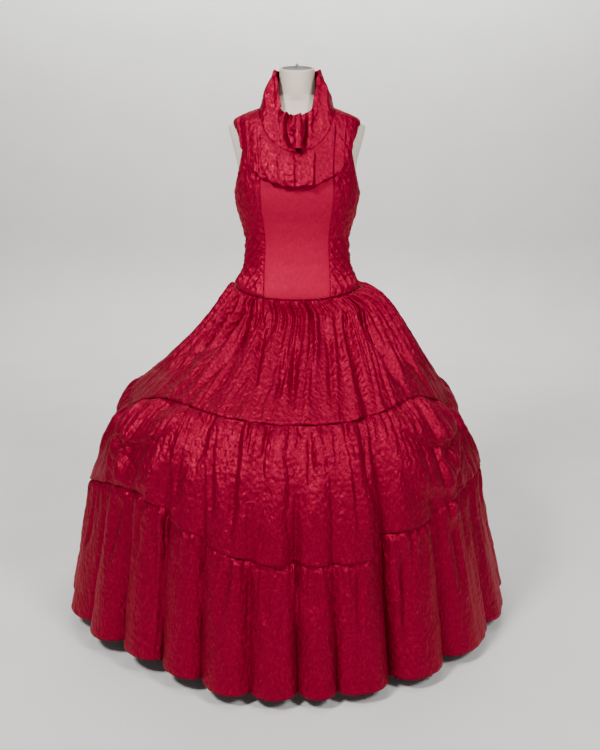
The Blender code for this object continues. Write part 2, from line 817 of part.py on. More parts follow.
def build_neck_knob(tilt, where):
    """The small metal knob that stands on the neck's cap."""
    mesh = bpy.data.meshes.new("form_neck_knob")
    work = bmesh.new()
    radii = {"radius1": KNOB_RADIUS, "radius2": KNOB_RADIUS * KNOB_TAPER}
    bmesh.ops.create_cone(work, cap_ends=True, segments=12, depth=KNOB_HEIGHT, **radii)
    lift = KNOB_HEIGHT / 2 + SEAM_GAP
    neck_top_z, _, _, forward, _ = NECK_RINGS[0]
    work.transform(
        Matrix.Translation((0, -forward, neck_top_z))
        @ Matrix.Rotation(tilt, 4, "X")
        @ Matrix.Translation((0, 0, lift))
    )
    work.to_mesh(mesh)
    work.free()
    put("form_neck_knob", mesh, "steel", STEEL, where)


def build_stand(where):
    """A pole from the torso down to a round base, with a socket where the pole stands in it."""
    pole_foot = BASE_THICKNESS + SEAM_GAP
    pole_height = FORM_BOTTOM_Z - SEAM_GAP - pole_foot
    for name, radius, segments, low, height, finish_name, finish in (
        ("stand_base", BASE_RADIUS, 48, 0.0, BASE_THICKNESS, "cast_base", CAST_BASE),
        ("stand_pole", POLE_RADIUS, 16, pole_foot, pole_height, "steel", STEEL),
    ):
        mesh = bpy.data.meshes.new(name)
        work = bmesh.new()
        radii = {"radius1": radius, "radius2": radius}
        bmesh.ops.create_cone(work, cap_ends=True, segments=segments, depth=height, **radii)
        work.transform(Matrix.Translation((0, 0, low + height / 2)))
        work.to_mesh(mesh)
        work.free()
        put(name, mesh, finish_name, finish, where)


def main():
    for old in list(bpy.data.objects):
        bpy.data.objects.remove(old)
    dress = collection("party_dress")
    build_bodice(dress)
    build_collar(dress)
    build_collar_roll(dress)
    build_ruffle(dress)
    build_skirt(dress)
    stand = collection("dress_form")
    build_form(stand)
    build_stand(stand)


main()
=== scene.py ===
"""The looks of a tiered party dress in crinkled crimson satin, on its limbless dress form.

Metres, +Z up, the wearer's front towards -Y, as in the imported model. Angles round the body are in degrees
from the front, towards +X. The cloth pieces repeat the solids' own shape functions on fine grids, and add
the gathers, creases and crinkles that the solids are too coarse to hold.
"""

import math

import bmesh
import bpy
import numpy as np
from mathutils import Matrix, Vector, noise


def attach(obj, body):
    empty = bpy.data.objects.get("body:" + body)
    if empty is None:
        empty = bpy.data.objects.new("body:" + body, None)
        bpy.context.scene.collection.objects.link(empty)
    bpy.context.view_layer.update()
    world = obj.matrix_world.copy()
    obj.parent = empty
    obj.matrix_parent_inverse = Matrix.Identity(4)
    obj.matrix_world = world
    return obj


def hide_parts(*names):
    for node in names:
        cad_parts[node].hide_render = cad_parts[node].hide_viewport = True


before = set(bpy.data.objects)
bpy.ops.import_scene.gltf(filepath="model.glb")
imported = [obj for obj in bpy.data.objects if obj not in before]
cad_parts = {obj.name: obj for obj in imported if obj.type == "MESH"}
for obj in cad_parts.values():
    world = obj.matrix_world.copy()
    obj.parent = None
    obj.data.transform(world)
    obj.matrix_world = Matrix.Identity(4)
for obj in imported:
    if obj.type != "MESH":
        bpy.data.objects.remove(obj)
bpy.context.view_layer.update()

# Cloth and seams, as in the solids
WALL = 0.0020
LAP = 0.006
SEAM_GROOVE = 0.0010
SEAM_GROOVE_WIDTH = 0.0035

# Bodice landmarks
WAIST_SIDE_Z = 0.930
WAIST_FRONT_DROP = 0.025
NECK_SIDE_Z = 1.404
NECK_FRONT_Z = 1.290
NECK_BACK_Z = 1.398
NECKLINE_HALVINGS = 30
SHOULDER_TIP_Z = 1.373
ARMPIT_Z = 1.187
ARMHOLE_HALF_DEPTH = 0.058
PRINCESS_X = 0.090
PRINCESS_OUT_AT_BUST = (0.008, ARMPIT_Z, 0.12)
PRINCESS_IN_AT_WAIST = (0.003, 1.05, 0.08)

# The dress on the body: level, half width, depth to the front and to the back
BODY_SECTIONS = (
    (0.800, 0.176, 0.120, 0.150),
    (0.860, 0.186, 0.136, 0.152),
    (0.905, 0.190, 0.143, 0.148),
    (0.930, 0.178, 0.138, 0.142),
    (0.960, 0.158, 0.124, 0.128),
    (1.000, 0.146, 0.110, 0.107),
    (1.055, 0.142, 0.104, 0.093),
    (1.100, 0.153, 0.111, 0.095),
    (1.150, 0.167, 0.127, 0.105),
    (1.190, 0.171, 0.135, 0.111),
    (1.230, 0.169, 0.131, 0.115),
    (1.270, 0.167, 0.117, 0.117),
    (1.310, 0.166, 0.100, 0.114),
    (1.350, 0.166, 0.084, 0.101),
    (1.373, 0.165, 0.072, 0.086),
    (1.388, 0.134, 0.064, 0.074),
    (1.404, 0.096, 0.056, 0.064),
    (1.425, 0.066, 0.052, 0.056),
)
BODY_SQUARENESS = 2.3

# The skirt: level, radius, how far it leans to -X, and its front depth as a share of the radius
SKIRT_SECTIONS = (
    (0.020, 0.650, -0.028, 1.00),
    (0.200, 0.606, -0.030, 1.00),
    (0.340, 0.570, -0.030, 1.00),
    (0.450, 0.545, -0.028, 1.00),
    (0.550, 0.508, -0.029, 0.99),
    (0.640, 0.452, -0.022, 0.965),
    (0.720, 0.376, -0.003, 0.92),
    (0.800, 0.305, 0.013, 0.86),
    (0.860, 0.257, 0.019, 0.79),
    (0.900, 0.221, 0.016, 0.745),
    (0.930, 0.179, 0.004, 0.775),
)

SKIRT_SQUARE_FROM_Z = 0.84

# Side pick-ups of the overskirt: angles, levels, depths, and reaches in degrees or tiers
PINCH_ANGLE = 76.0
PINCH_Z = 0.610
PINCH_DEPTH = 0.010
PINCH_REACH = 14.0
PINCH_TIERS = 0.5
SWAG_BACK_ANGLE = 122.0
SWAG_FULL_AT_TIER = 1.12
TIP_FLARE = 0.012
TIP_ANGLE = 86.0
TIP_REACH = 40.0
TIP_FROM_TIER = 1.6

# Edges of the tiers: degrees, level
TIER_1_EDGE = (
    (-180, 0.645),
    (-112, 0.662),
    (-92, 0.638),
    (-PINCH_ANGLE, PINCH_Z),
    (-60, 0.652),
    (-46, 0.668),
    (-20, 0.654),
    (0, 0.645),
    (24, 0.648),
    (48, 0.671),
    (62, 0.648),
    (PINCH_ANGLE, PINCH_Z),
    (92, 0.638),
    (112, 0.662),
    (180, 0.645),
)
TIER_2_EDGE = (
    (-180, 0.345),
    (-140, 0.375),
    (-108, 0.392),
    (-88, 0.366),
    (-66, 0.425),
    (-45, 0.450),
    (-25, 0.392),
    (-10, 0.349),
    (0, 0.342),
    (20, 0.338),
    (27, 0.378),
    (40, 0.396),
    (58, 0.430),
    (80, 0.434),
    (104, 0.398),
    (140, 0.375),
    (180, 0.345),
)
HEM = ((-180, 0.035), (-62, 0.042), (-40, 0.053), (-12, 0.036), (22, 0.033), (52, 0.034), (180, 0.035))

# Valleys of the long folds: degrees, depth at the hem, half width in degrees, tier where each starts,
# and how far its top stands to the side of its foot
LONG_FOLDS = (
    (2.8, 0.044, 5.4, 0.8, 0.0),
    (11.7, 0.036, 5.0, 0.9, 0.8),
    (25.5, 0.062, 7.5, 0.7, 2.0),
    (41.5, 0.052, 8.0, 1.6, 5.0),
    (61.0, 0.046, 8.5, 1.9, 3.0),
    (80.0, 0.030, 8.0, 2.0, 0.0),
    (99.0, 0.040, 8.0, 1.6, -2.0),
    (117.0, 0.030, 7.0, 1.4, 0.0),
    (133.0, 0.045, 8.0, 1.2, 1.0),
    (150.0, 0.025, 7.0, 1.0, -1.0),
    (166.0, 0.045, 7.0, 0.8, 0.5),
    (183.0, 0.020, 6.0, 1.0, 0.0),
    (199.0, 0.050, 7.5, 0.9, -1.0),
    (215.0, 0.022, 6.5, 1.2, 1.0),
    (232.0, 0.045, 8.0, 1.1, 0.0),
    (250.0, 0.030, 7.0, 1.5, 0.0),
    (268.0, 0.035, 8.0, 2.0, 0.0),
    (283.0, 0.030, 7.0, 2.0, 0.0),
    (299.0, 0.040, 8.0, 1.8, 0.0),
    (314.0, 0.050, 8.0, 1.6, -2.0),
    (325.0, 0.022, 34.0, 1.5, 0.0),
    (328.0, 0.046, 7.5, 1.2, -3.0),
    (340.0, 0.038, 7.0, 1.0, -2.5),
    (352.3, 0.026, 5.4, 1.0, -2.0),
)
VALLEY_SHARPNESS = 0.40
VALLEY_CLOSING = 0.23
WIDE_FOLD = 10.0
FOLD_GROWTH = 0.8
FULLY_CLOSING_DEPTH = 0.035

# Creases drawn one by one: from degrees and level, to degrees and level, depth and half width in metres
TIER_1_CREASES = (
    (-4.4, 0.826, 1.3, 0.654, 0.010, 0.016),
    (13.3, 0.850, 14.2, 0.651, 0.010, 0.016),
    (23.8, 0.880, 26.9, 0.657, 0.017, 0.024),
    (36.0, 0.895, 46.6, 0.683, 0.016, 0.030),
    (52.0, 0.890, 60.0, 0.705, 0.010, 0.022),
    (66.0, 0.885, 72.0, 0.660, 0.012, 0.022),
    (-26.6, 0.887, -12.0, 0.666, 0.007, 0.015),
    (-8.9, 0.800, -4.0, 0.667, 0.007, 0.013),
    (4.4, 0.889, 6.6, 0.667, 0.007, 0.012),
    (-30.0, 0.905, -38.1, 0.696, 0.019, 0.026),
    (-41.0, 0.900, -51.0, 0.735, 0.014, 0.022),
    (-50.0, 0.900, -62.0, 0.700, 0.014, 0.022),
    (-62.0, 0.895, -71.0, 0.660, 0.012, 0.020),
    (84.0, 0.890, 83.0, 0.690, 0.010, 0.020),
    (100.0, 0.890, 96.0, 0.700, 0.013, 0.024),
    (118.0, 0.890, 112.0, 0.720, 0.012, 0.024),
    (131.0, 0.895, 133.0, 0.680, 0.013, 0.022),
    (148.0, 0.895, 150.0, 0.700, 0.009, 0.018),
    (163.0, 0.895, 166.0, 0.655, 0.014, 0.022),
    (176.0, 0.895, 177.0, 0.690, 0.008, 0.016),
    (-170.0, 0.895, -172.0, 0.670, 0.010, 0.018),
    (-158.0, 0.895, -161.0, 0.655, 0.013, 0.022),
    (-143.0, 0.895, -145.0, 0.700, 0.009, 0.018),
    (-127.0, 0.895, -129.0, 0.670, 0.014, 0.024),
    (-112.0, 0.890, -108.0, 0.700, 0.012, 0.022),
    (-98.0, 0.890, -95.0, 0.690, 0.012, 0.022),
    (-84.0, 0.890, -83.0, 0.680, 0.010, 0.020),
)
TIER_2_CREASES = (
    (-22.0, 0.640, -18.0, 0.420, 0.007, 0.018),
    (-13.0, 0.640, -14.0, 0.360, 0.009, 0.018),
    (7.5, 0.640, 7.0, 0.480, 0.006, 0.012),
    (19.0, 0.640, 19.0, 0.400, 0.006, 0.014),
    (-31.0, 0.650, -30.0, 0.440, 0.010, 0.020),
    (125.0, 0.640, 124.0, 0.440, 0.010, 0.020),
    (158.0, 0.640, 157.0, 0.420, 0.009, 0.018),
    (174.0, 0.640, 175.0, 0.440, 0.007, 0.014),
    (-176.0, 0.640, -175.0, 0.400, 0.007, 0.016),
    (-152.0, 0.640, -153.0, 0.430, 0.009, 0.018),
    (-121.0, 0.640, -120.0, 0.440, 0.010, 0.020),
)
TIER_3_CREASES = (
    (32.5, 0.360, 30.2, 0.060, 0.012, 0.020),
    (51.1, 0.375, 49.8, 0.170, 0.010, 0.018),
    (7.4, 0.340, 7.0, 0.210, 0.006, 0.014),
    (18.0, 0.335, 17.5, 0.170, 0.006, 0.014),
    (-4.0, 0.340, -3.5, 0.190, 0.007, 0.014),
    (-14.0, 0.350, -14.5, 0.180, 0.009, 0.018),
    (70.0, 0.390, 69.0, 0.190, 0.009, 0.018),
    (91.0, 0.390, 90.0, 0.200, 0.009, 0.018),
    (109.0, 0.385, 108.0, 0.190, 0.010, 0.020),
    (141.0, 0.370, 141.0, 0.180, 0.009, 0.018),
    (158.0, 0.360, 158.0, 0.160, 0.008, 0.018),
    (175.0, 0.345, 174.0, 0.150, 0.008, 0.018),
    (-169.0, 0.345, -169.0, 0.170, 0.008, 0.018),
    (-153.0, 0.360, -153.0, 0.180, 0.009, 0.018),
    (-137.0, 0.375, -137.0, 0.170, 0.009, 0.018),
    (-101.0, 0.385, -101.0, 0.190, 0.010, 0.018),
    (-69.0, 0.410, -69.0, 0.200, 0.009, 0.018),
    (-53.0, 0.430, -53.0, 0.220, 0.009, 0.018),
)

CREASE_FADE_IN = (-0.05, 0.22)
CREASE_FADE_OUT = (0.55, 1.05)
CREASE_POWER = 1.6

# Cowls that hang from each pick-up: ridge line in degrees and level, then its height, and how far the cowl
# reaches above the line and below it
COWLS = (
    (
        (
            (32.0, 0.652),
            (41.0, 0.618),
            (50.0, 0.586),
            (58.0, 0.578),
            (67.0, 0.592),
            (PINCH_ANGLE, PINCH_Z),
            (90.0, 0.580),
            (102.0, 0.576),
            (112.0, 0.604),
            (SWAG_BACK_ANGLE, 0.640),
        ),
        0.030,
        0.090,
        0.034,
    ),
    (
        (
            (27.0, 0.636),
            (34.0, 0.560),
            (41.0, 0.500),
            (48.0, 0.470),
            (56.0, 0.490),
            (65.0, 0.545),
            (PINCH_ANGLE, PINCH_Z),
            (90.0, 0.480),
            (100.0, 0.456),
            (110.0, 0.510),
            (SWAG_BACK_ANGLE, 0.600),
        ),
        0.018,
        0.075,
        0.045,
    ),
)
COWL_DROOP = 0.30
BACK_COWL_SHARE = 0.40
SWAG_RADIUS = 0.52
COWL_FADE_IN = 9.0
COWL_FADE_OUT_FROM = 108.0
COWL_PINCHED = 0.80
COWL_PINCH_REACH = 16.0
COWL_TOP = 0.25
COWL_BLUNTNESS = 0.18
COWL_FOOT = 0.82

# The pick-up's flap: a ridge from the pinch down to the flap's tip
FLAP_RIDGE = (78.0, 0.600, 80.0, 0.425, 0.014, 0.030)
PINCH_CREASES = (
    (74.0, 0.596, 44.0, 0.500, 0.010, 0.030),
    (75.0, 0.596, 50.0, 0.430, 0.012, 0.034),
    (77.0, 0.596, 64.0, 0.440, 0.012, 0.034),
    (82.0, 0.596, 96.0, 0.440, 0.010, 0.030),
)

# Falling ruffle: where a pleat leaves the neckline, where it ends, and the edge's level there
RUFFLE_EDGE = (
    (0.0, 0.0, 1.202),
    (12.0, 10.0, 1.204),
    (30.0, 25.0, 1.220),
    (46.0, 38.0, 1.243),
    (60.0, 50.0, 1.284),
    (72.0, 61.0, 1.324),
    (81.0, 72.0, 1.352),
    (90.0, 90.0, 1.375),
    (99.0, 110.0, 1.352),
    (110.0, 122.0, 1.322),
    (130.0, 137.0, 1.292),
    (155.0, 158.0, 1.277),
    (180.0, 180.0, 1.273),
)
RUFFLE_PLEATS = 22
RUFFLE_OUT_TOP = 0.0052
RUFFLE_OUT_EDGE = 0.0140
RUFFLE_OUT_SHOULDER = 0.0048
RUFFLE_PLEAT_HEIGHT = 0.0078

# Standing collar's top edge: degrees, out to the side, forward, level
COLLAR_TOP = (
    (0.0, 0.000, 0.086, 1.384),
    (14.0, 0.022, 0.082, 1.388),
    (24.0, 0.038, 0.073, 1.402),
    (33.0, 0.047, 0.060, 1.440),
    (42.0, 0.052, 0.047, 1.478),
    (56.0, 0.057, 0.032, 1.498),
    (90.0, 0.061, 0.000, 1.505),
    (135.0, 0.047, -0.047, 1.505),
    (180.0, 0.000, -0.064, 1.505),
)
COLLAR_OUT = 0.0046
COLLAR_LIFT = 0.0006

# Dress form
FORM_INSET_SHOULDER = 0.0052
FORM_INSET_BODY = 0.0085
FORM_BOTTOM_Z = 0.800
NECK_TOP_TILT = 14.0
SHOULDER_END = (
    (1.225, 0.000),
    (1.260, 0.004),
    (1.300, 0.015),
    (1.335, 0.024),
    (1.357, 0.026),
    (1.366, 0.015),
    (1.372, 0.000),
)
SHOULDER_END_CLEARANCE = 0.004
# The neck, from its top: level, half width, depth, how far forward, and its share of the top's tilt
NECK_RINGS = (
    (1.508, 0.0466, 0.0470, 0.010, 1.0),
    (1.470, 0.0475, 0.0480, 0.006, 0.6),
    (1.440, 0.0500, 0.0470, 0.003, 0.3),
)
# Its flat top: share of the neck's width, and how far down; then the shares of the neck's rows at its rings
NECK_TOP = ((0.02, 0.0030), (0.50, 0.0030), (0.86, 0.0030), (0.88, 0.0008), (0.91, 0.0), (0.97, 0.0))
NECK_KNOTS = (0.0, 0.42, 0.76, 1.0)
NECK_ROWS = 26
NECK_FOOT_Z = 1.424
NECK_INSET_SHARE = 0.87
NECK_INSET_ABOVE_Z = 1.49
FORM_SHOULDER_LEVELS = (1.34, 1.385)

# Uneven waves: how many make one up, and what calms their sum
WOBBLE_WAVES = 7
WOBBLE_CALM = 2.2

# Gathers: how unevenly they are spaced, how they sway as they run out, how sharp their ridges are,
# how fast they fade, and how much their heights and lengths differ
GATHER_DRIFTS = 6
GATHER_DRIFT = 0.110
GATHER_SWAY = 0.10
GATHER_SWAYS_PER_METRE = 31.0
GATHER_SWAY_RUN = (0.02, 0.12)
GATHER_SHARPNESS = 0.75
GATHER_FADE = 1.6
GATHER_LEAST_HEIGHT = 0.25
GATHER_LENGTHS = (0.30, 1.25)

# Crinkles: how their crease lines mix with finer lumps
CRINKLE_SHIFT = (3.7, 1.3, 5.1)
CRINKLE_STEEPNESS = 2.2
CRINKLE_SHARE = 0.6
CRINKLE_FINER = 2.3

# Grid sizes
SKIRT_COLUMNS = 980
SKIRT_ROWS = 46
SKIRT_ROW_SPREAD = 1.20
PANEL_ACROSS = 64
PANEL_UP = 130
RUFFLE_COLUMNS = RUFFLE_PLEATS * 32
RUFFLE_ROWS = 34
COLLAR_COLUMNS = 420
COLLAR_ROWS = 44
FORM_COLUMNS = 160
FORM_ROWS = 130

# Photograph's camera
CAMERA_PLACE = (0.008, -2.4, 1.252)
CAMERA_PITCH_DOWN = 13.75
CAMERA_LENS = 40.8
CAMERA_SENSOR = 36.0


def cubic(at, positions, values):
    """The cubic through a table's points that the solids use, with slopes taken from the neighbours."""
    at = np.asarray(at, float)
    xs, ys = np.asarray(positions, float), np.asarray(values, float)
    last = len(xs) - 1
    index = np.arange(last + 1)
    low, high = np.maximum(index - 1, 0), np.minimum(index + 1, last)
    slopes = (ys[high] - ys[low]) / (xs[high] - xs[low])
    i = np.clip(np.searchsorted(xs, at, side="right") - 1, 0, last - 1)
    step = xs[i + 1] - xs[i]
    share = np.clip((at - xs[i]) / step, 0.0, 1.0)
    s2, s3 = share**2, share**3
    return (
        ys[i] * (2 * s3 - 3 * s2 + 1)
        + slopes[i] * step * (s3 - 2 * s2 + share)
        + ys[i + 1] * (3 * s2 - 2 * s3)
        + slopes[i + 1] * step * (s3 - s2)
    )


def looked_up(table, at):
    """The table's other columns at a level or angle."""
    columns = list(zip(*table))
    return [cubic(at, columns[0], values) for values in columns[1:]]


def blend(low, high, share):
    return low + (high - low) * share


def smooth_step(at, start, end):
    share = np.clip((np.asarray(at, float) - start) / (end - start), 0.0, 1.0)
    return share * share * (3 - 2 * share)


def bump(at, middle, reach):
    """1 at the middle, and 0 from the reach on."""
    away = np.clip(np.abs(np.asarray(at, float) - middle) / reach, 0.0, 1.0)
    return 0.5 + 0.5 * np.cos(np.pi * away)


def turn_between(degrees, other):
    """The turn from one angle to another, from -180 to 180."""
    return (np.asarray(degrees, float) - other + 180.0) % 360.0 - 180.0


def stacked(x, y, z):
    return np.stack(np.broadcast_arrays(x, y, z), axis=-1)


def signed_power(value, power):
    return np.sign(value) * np.abs(value) ** power


def body_point(degrees, z, out=0.0):
    """The dress on the body at an angle and a level, moved out level."""
    half_width, front, back = looked_up(BODY_SECTIONS, z)
    side, ahead = np.sin(np.radians(degrees)), np.cos(np.radians(degrees))
    depth = np.where(ahead > 0, front, back)
    power = 2 / BODY_SQUARENESS
    x = signed_power(side, power) * (half_width + out)
    y = -signed_power(ahead, power) * (depth + out)
    return stacked(x, y, z)


def unit(vectors):
    return vectors / np.maximum(np.linalg.norm(vectors, axis=-1, keepdims=True), 1e-9)


def body_normal(degrees, z):
    """Square to the dress on the body, outwards."""
    turn, rise = 0.25, 0.002
    along = body_point(degrees + turn, z) - body_point(degrees - turn, z)
    upward = body_point(degrees, z + rise) - body_point(degrees, z - rise)
    return unit(np.cross(along, upward))


def raised_point(degrees, z, out):
    """The dress on the body, moved out square to itself."""
    return body_point(degrees, z) + body_normal(degrees, z) * np.asarray(out)[..., None]


def angle_at_side(x, z):
    """Degrees from the front at which the dress is this far out to the side."""
    half_width = looked_up(BODY_SECTIONS, z)[0]
    return np.degrees(np.arcsin(np.minimum(np.abs(x) / half_width, 1.0) ** (BODY_SQUARENESS / 2)))


def angle_at_depth(depth_wanted, z, facing_front):
    """Degrees from the front at which the dress is this far ahead of its middle, or behind it."""
    _, front, back = looked_up(BODY_SECTIONS, z)
    depth = front if facing_front else back
    degrees = np.degrees(np.arccos(np.minimum(depth_wanted / depth, 1.0) ** (BODY_SQUARENESS / 2)))
    return degrees if facing_front else 180.0 - degrees


def armhole_depth(z):
    """How far the armhole's edge is ahead of the shoulder line, and behind it."""
    middle = (ARMPIT_Z + SHOULDER_TIP_Z) / 2
    half_height = (SHOULDER_TIP_Z - ARMPIT_Z) / 2
    return ARMHOLE_HALF_DEPTH * np.sqrt(np.maximum(1 - ((z - middle) / half_height) ** 2, 0.0))


def waist_z(degrees):
    return WAIST_SIDE_Z - WAIST_FRONT_DROP * np.maximum(np.cos(np.radians(degrees)), 0.0) ** 2


def neck_front_z(x):
    neck_side_x = looked_up(BODY_SECTIONS, NECK_SIDE_Z)[0]
    return NECK_SIDE_Z - (NECK_SIDE_Z - NECK_FRONT_Z) * np.sqrt(np.maximum(1 - (x / neck_side_x) ** 2, 0.0))


def princess_x(z):
    """How far the princess seam is from the middle. Each bulge is (metres, level, reach)."""
    wider, narrower = PRINCESS_OUT_AT_BUST, PRINCESS_IN_AT_WAIST
    return PRINCESS_X + wider[0] * bump(z, *wider[1:]) - narrower[0] * bump(z, *narrower[1:])


def neckline_z(degrees):
    """The neckline's level at an angle from the front."""
    degrees = np.asarray(degrees, float)
    low = np.full(degrees.shape, NECK_FRONT_Z)
    high = np.full(degrees.shape, NECK_SIDE_Z)
    for _ in range(NECKLINE_HALVINGS):
        middle = (low + high) / 2
        under = middle < neck_front_z(body_point(degrees, middle)[..., 0])
        low, high = np.where(under, middle, low), np.where(under, high, middle)
    behind = np.maximum(-np.cos(np.radians(degrees)), 0.0)
    return np.where(behind > 0, blend(NECK_SIDE_Z, NECK_BACK_Z, behind), (low + high) / 2)


def wobble(degrees, seed, slowest, fastest):
    """An uneven wave round the body, from 0 to 1, the same on each run."""
    random = np.random.default_rng(seed)
    theta = np.radians(degrees)
    total = np.zeros_like(theta)
    counts = random.integers(slowest, fastest + 1, WOBBLE_WAVES)
    for count in counts:
        total += np.sin(count * theta + random.uniform(0, 2 * np.pi))
    return np.clip(0.5 + total / (WOBBLE_CALM * math.sqrt(len(counts))), 0.0, 1.0)


def gather_ridges(degrees, run, count, length, seed):
    """Uneven ridges that leave a seam and run out down the cloth: 0 in their valleys, 1 on their ridges."""
    random = np.random.default_rng(seed)
    theta = np.radians(degrees)
    phase = count * theta / (2 * np.pi)
    for _ in range(GATHER_DRIFTS):
        rounds = random.integers(3, 17)
        drift = np.sin(rounds * theta + random.uniform(0, 2 * np.pi))
        phase = phase + GATHER_DRIFT * count / rounds * drift / WOBBLE_CALM
    sway = np.sin(run * GATHER_SWAYS_PER_METRE + 9 * theta)
    phase = phase + GATHER_SWAY * sway * smooth_step(run, *GATHER_SWAY_RUN)
    ridge = np.abs(np.sin(np.pi * phase)) ** GATHER_SHARPNESS
    heights = wobble(degrees, seed=seed + 1, slowest=9, fastest=41)
    height = GATHER_LEAST_HEIGHT + (1 - GATHER_LEAST_HEIGHT) * heights
    shortest, longer = GATHER_LENGTHS
    reach = length * (shortest + longer * wobble(degrees, seed=seed + 2, slowest=11, fastest=53))
    return ridge * height * np.exp(-((run / reach) ** GATHER_FADE))


def crease_line(degrees, z, radius, crease, sharp=0.5):
    """How deep one listed crease is: deepest on its line, with soft ends."""
    start_degrees, start_z, end_degrees, end_z, depth, half_width = crease
    across_scale = np.radians(1.0) * radius
    share = np.clip((start_z - z) / (start_z - end_z), 0.0, 1.0)
    away = turn_between(degrees, blend(start_degrees, end_degrees, share)) * across_scale
    past = np.maximum(np.maximum(z - start_z, end_z - z), 0.0)
    near = np.clip(1 - np.hypot(away, past) / half_width, 0.0, 1.0)
    ends = smooth_step(share, *CREASE_FADE_IN) * (1 - smooth_step(share, *CREASE_FADE_OUT))
    return depth * ends * blend(0.5 - 0.5 * np.cos(np.pi * near), near**CREASE_POWER, sharp)


def long_folds(degrees, tier):
    """How deep the long valleys are, and how far the cloth beside each is drawn over it, in degrees."""
    depth = np.zeros_like(tier)
    pull = np.zeros_like(tier)
    for valley, at_hem, reach, start, lean in LONG_FOLDS:
        away = turn_between(degrees, valley + lean * np.clip(3 - tier, 0, 2) / 2)
        share = np.clip((tier - start) / (3 - start), 0.0, 1.0) ** FOLD_GROWTH
        near = np.clip(1 - np.abs(away) / reach, 0.0, 1.0)
        soft = 0.5 - 0.5 * np.cos(np.pi * near)
        narrow = reach < WIDE_FOLD
        depth += at_hem * share * blend(soft, near**3, VALLEY_SHARPNESS if narrow else 0.0)
        closing = VALLEY_CLOSING * min(at_hem / FULLY_CLOSING_DEPTH, 1.0) if narrow else 0.0
        pull -= np.sign(away) * closing * reach * share * 4 * near * (1 - near)
    return depth, pull


def skirt_surface(degrees, z, out):
    """The plain skirt at an angle and a level, moved out level."""
    radius, lean, front_share = looked_up(SKIRT_SECTIONS, z)
    power = blend(1.0, 2 / BODY_SQUARENESS, smooth_step(z, SKIRT_SQUARE_FROM_Z, WAIST_SIDE_Z))
    side, ahead = np.sin(np.radians(degrees)), np.cos(np.radians(degrees))
    x = signed_power(side, power) * (radius + out) + lean
    y = -signed_power(ahead, power) * (radius * front_share + out)
    return stacked(x, y, z)


def skirt_normal(degrees, z):
    """Square to the plain skirt, outwards."""
    turn, rise = 0.25, 0.004
    along = skirt_surface(degrees + turn, z, 0.0) - skirt_surface(degrees - turn, z, 0.0)
    upward = skirt_surface(degrees, z + rise, 0.0) - skirt_surface(degrees, z - rise, 0.0)
    return unit(np.cross(along, upward))


def swag_out(degrees, z):
    """How far the cowls stand out, between each pick-up and the front, and behind it."""
    from_front = np.abs(turn_between(degrees, 0.0))
    out = np.zeros_like(z)
    for line, height, reach_up, reach_down in COWLS:
        angles, levels = zip(*line)
        ridge_z = cubic(from_front, angles, levels)
        slope = (cubic(from_front + 0.5, angles, levels) - ridge_z) / (np.radians(0.5) * SWAG_RADIUS)
        from_ridge = (z - ridge_z) / np.hypot(1.0, slope)
        reach = np.where(from_ridge > 0, reach_up, reach_down)
        ends = smooth_step(from_front, angles[0], angles[0] + COWL_FADE_IN)
        ends = ends * (1 - smooth_step(from_front, COWL_FADE_OUT_FROM, angles[-1]))
        size = height * ends * (1 - COWL_PINCHED * bump(from_front, PINCH_ANGLE, COWL_PINCH_REACH))
        size = size * np.where(from_front > PINCH_ANGLE, BACK_COWL_SHARE, 1.0)
        away = np.clip(np.abs(from_ridge) / reach, 0.0, 1.0)
        blunt = 1 - COWL_BLUNTNESS * (1 - smooth_step(away, 0.0, COWL_BLUNTNESS))
        above = (1 - away) * smooth_step(1 - away, 0.0, COWL_TOP) * blunt
        below = COWL_FOOT * bump(away, 0.0, 1.0)
        out = np.maximum(out, size * np.where(from_ridge > 0, above, below))
    return out


def drape_out(degrees, z, tier):
    """How far long folds, pick-ups and pinches move the skirt out, and the folds' pull round it."""
    from_front = np.abs(turn_between(degrees, 0.0))
    fold, pull = long_folds(degrees, tier)
    pinch = PINCH_DEPTH * bump(from_front, PINCH_ANGLE, PINCH_REACH) * bump(tier, 1.0, PINCH_TIERS)
    swag = swag_out(degrees, z) * smooth_step(tier, 1.0, SWAG_FULL_AT_TIER)
    swag = np.where(tier < 2.0, swag, 0.0)
    tip = TIP_FLARE * bump(from_front, TIP_ANGLE, TIP_REACH) * smooth_step(tier, TIP_FROM_TIER, 2.0)
    flare = np.where(tier <= 2.0, tip, 0.0)
    return swag + flare - fold - pinch, pull, COWL_DROOP * swag


def crinkle(points, size, seed):
    """Crushed satin's crease lines, from about -1 to 1, on a grid of points."""
    flat = points.reshape(-1, 3) / size
    shift = Vector([seed * part for part in CRINKLE_SHIFT])
    heights = []
    for place in map(Vector, flat):
        lines = 1.0 - CRINKLE_STEEPNESS * abs(noise.noise(place + shift))
        lumps = noise.noise(place * CRINKLE_FINER - shift)
        heights.append(lines * CRINKLE_SHARE + CRINKLE_SHARE * lumps)
    return np.array(heights).reshape(points.shape[:-1])


def crinkles(points, layers):
    """Crinkles on top of each other, from (height, size, seed) rows."""
    return sum(height * crinkle(points, size, seed) for height, size, seed in layers)


def round_grid(columns, shares):
    """Angles round the body, and shares along a piece, on one grid."""
    return np.meshgrid(np.arange(columns) * 360.0 / columns, shares)


